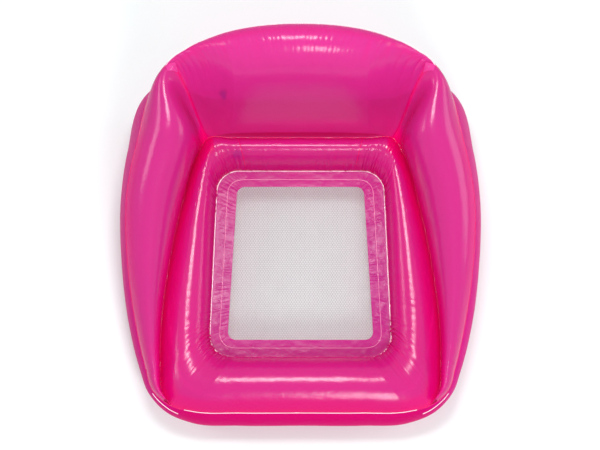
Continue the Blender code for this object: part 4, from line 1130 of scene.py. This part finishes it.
sparse = slice(None, None, 4)
ring_line_keys = RING_KEYS[sparse]
opening = weld(ring_line_keys, 0)
inward = level_unit(along(MESH_LINE, MESH_SHARES, ring_line_keys) - opening)
opening += inward * BEAD_LIFT + (0, 0, BEAD_LIFT)
bead("opening_weld", round_ring(opening), BEAD_WIDE, BEAD_PAINTED_HIGHLIGHT, closed=True)
hem_line = top[sparse, HEM_COLUMN] + (0, 0, HEM_BEAD_LIFT)
bead("hem_weld", hem_line, BEAD_FINE, BEAD_LIGHT, closed=True)
front_keys = np.linspace(0, 2.4, 90)
front_line = seam(SHOULDER, front_keys)
front_line = np.concatenate((front_line[:0:-1] * MIRROR, front_line))
bead("front_weld", front_line, BEAD_NARROW, BEAD_PAINTED_HIGHLIGHT)
side_keys = np.linspace(2.5, 12, 280)
shoulder_line = both_ways(seam(SHOULDER, side_keys))
bead("shoulder_weld", shoulder_line, BEAD_SLIM, BEAD_DEEP)
bottom_line = round_ring(bottom_seam(ring_line_keys))
bead("bottom_weld", bottom_line, BEAD_USUAL, BEAD_DEEP, closed=True)
valley_line = seam(VALLEY, np.linspace(3.1, 10, 180), 3)
# Across the upper edge of the wall, round the front of each arm tip
tip_places = np.linspace(0.05, 0.15, 40) * (wall.shape[1] - 1)
tip_line = between_columns(wall_points(np.linspace(3.9, 2.55, 40)), tip_places) + (0, 0, BEAD_LIFT)
lap_line = top_points(np.array((11.09,)))[0, FLANGE_COLUMNS + 1:-1] + (0, 0, LAP_LIFT)
for side, mirror in SIDES:
    bead("valley_weld_" + side, valley_line * mirror, BEAD_USUAL, BEAD_DEEP)
    joint_line = end_arch[1:-1] * mirror
    bead("junction_weld_" + side, joint_line, BEAD_USUAL, BEAD_DEEP)
    bead("arm_tip_weld_" + side, tip_line * mirror, BEAD_USUAL, BEAD_PAINTED_HIGHLIGHT)
    bead("rear_lap_weld_" + side, lap_line * mirror, BEAD_NARROW, BEAD_DEEP)
foot_keys = np.linspace(10, 12, 80)
foot_line = both_ways(seam(VALLEY, foot_keys, 3))
ridge_line = both_ways(over_points(foot_keys, 1, 1.5, 2)[:, 0])
bead("backrest_foot_weld", foot_line, BEAD_WIDE, BEAD_DEEP)
bead("backrest_ridge_weld", ridge_line, BEAD_USUAL, BEAD_PAINTED_HIGHLIGHT)

# Valves: two moulded vinyl push-in valves, one into each air chamber. A clear
# flange is welded to the film, the stem slides in it, and a violet plug hangs
# on a strap. The thin check flap closes the inner end.
MARK_SHADE = 0.86
MARK_GLOSS = 0.06
MARK_DULLNESS = 0.08
FLOW_SCALE = 180
FLOW_DEPTH = 0.0001


def moulded(name, colour, clear, roughness):
    """Soft moulded vinyl with faint flow marks, partly see-through."""
    made, tree, body = new_material(name)
    marks = noise(tree, FLOW_SCALE, 3)
    darker = (*(channel * MARK_SHADE for channel in colour), 1)
    rough = add_node(tree, "ShaderNodeMapRange", {
        "Value": marks, "To Min": roughness - MARK_GLOSS, "To Max": roughness + MARK_DULLNESS,
    })
    wire(tree, body, {
        "Base Color": mixed(tree, marks, darker, (*colour, 1)),
        "Roughness": rough.outputs["Result"],
        "Normal": bumped(tree, marks, FLOW_DEPTH),
    })
    show_through(tree, body, colour, 1 - clear)
    return made


VALVE_CLEAR = moulded("valve_clear_vinyl", (0.16, 0.11, 0.70), 0.20, 0.22)
VALVE_VIOLET = moulded("valve_violet_vinyl", (0.10, 0.05, 0.50), 0.06, 0.30)
VALVE_SHADES = {
    "flange": VALVE_CLEAR, "stem": VALVE_CLEAR, "plug": VALVE_VIOLET, "check_flap": VALVE_VIOLET,
}
for valve in ("seat_valve_", "back_valve_"):
    for part, shade in VALVE_SHADES.items():
        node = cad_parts[valve + part]
        for slot in node.material_slots:
            slot.material = shade
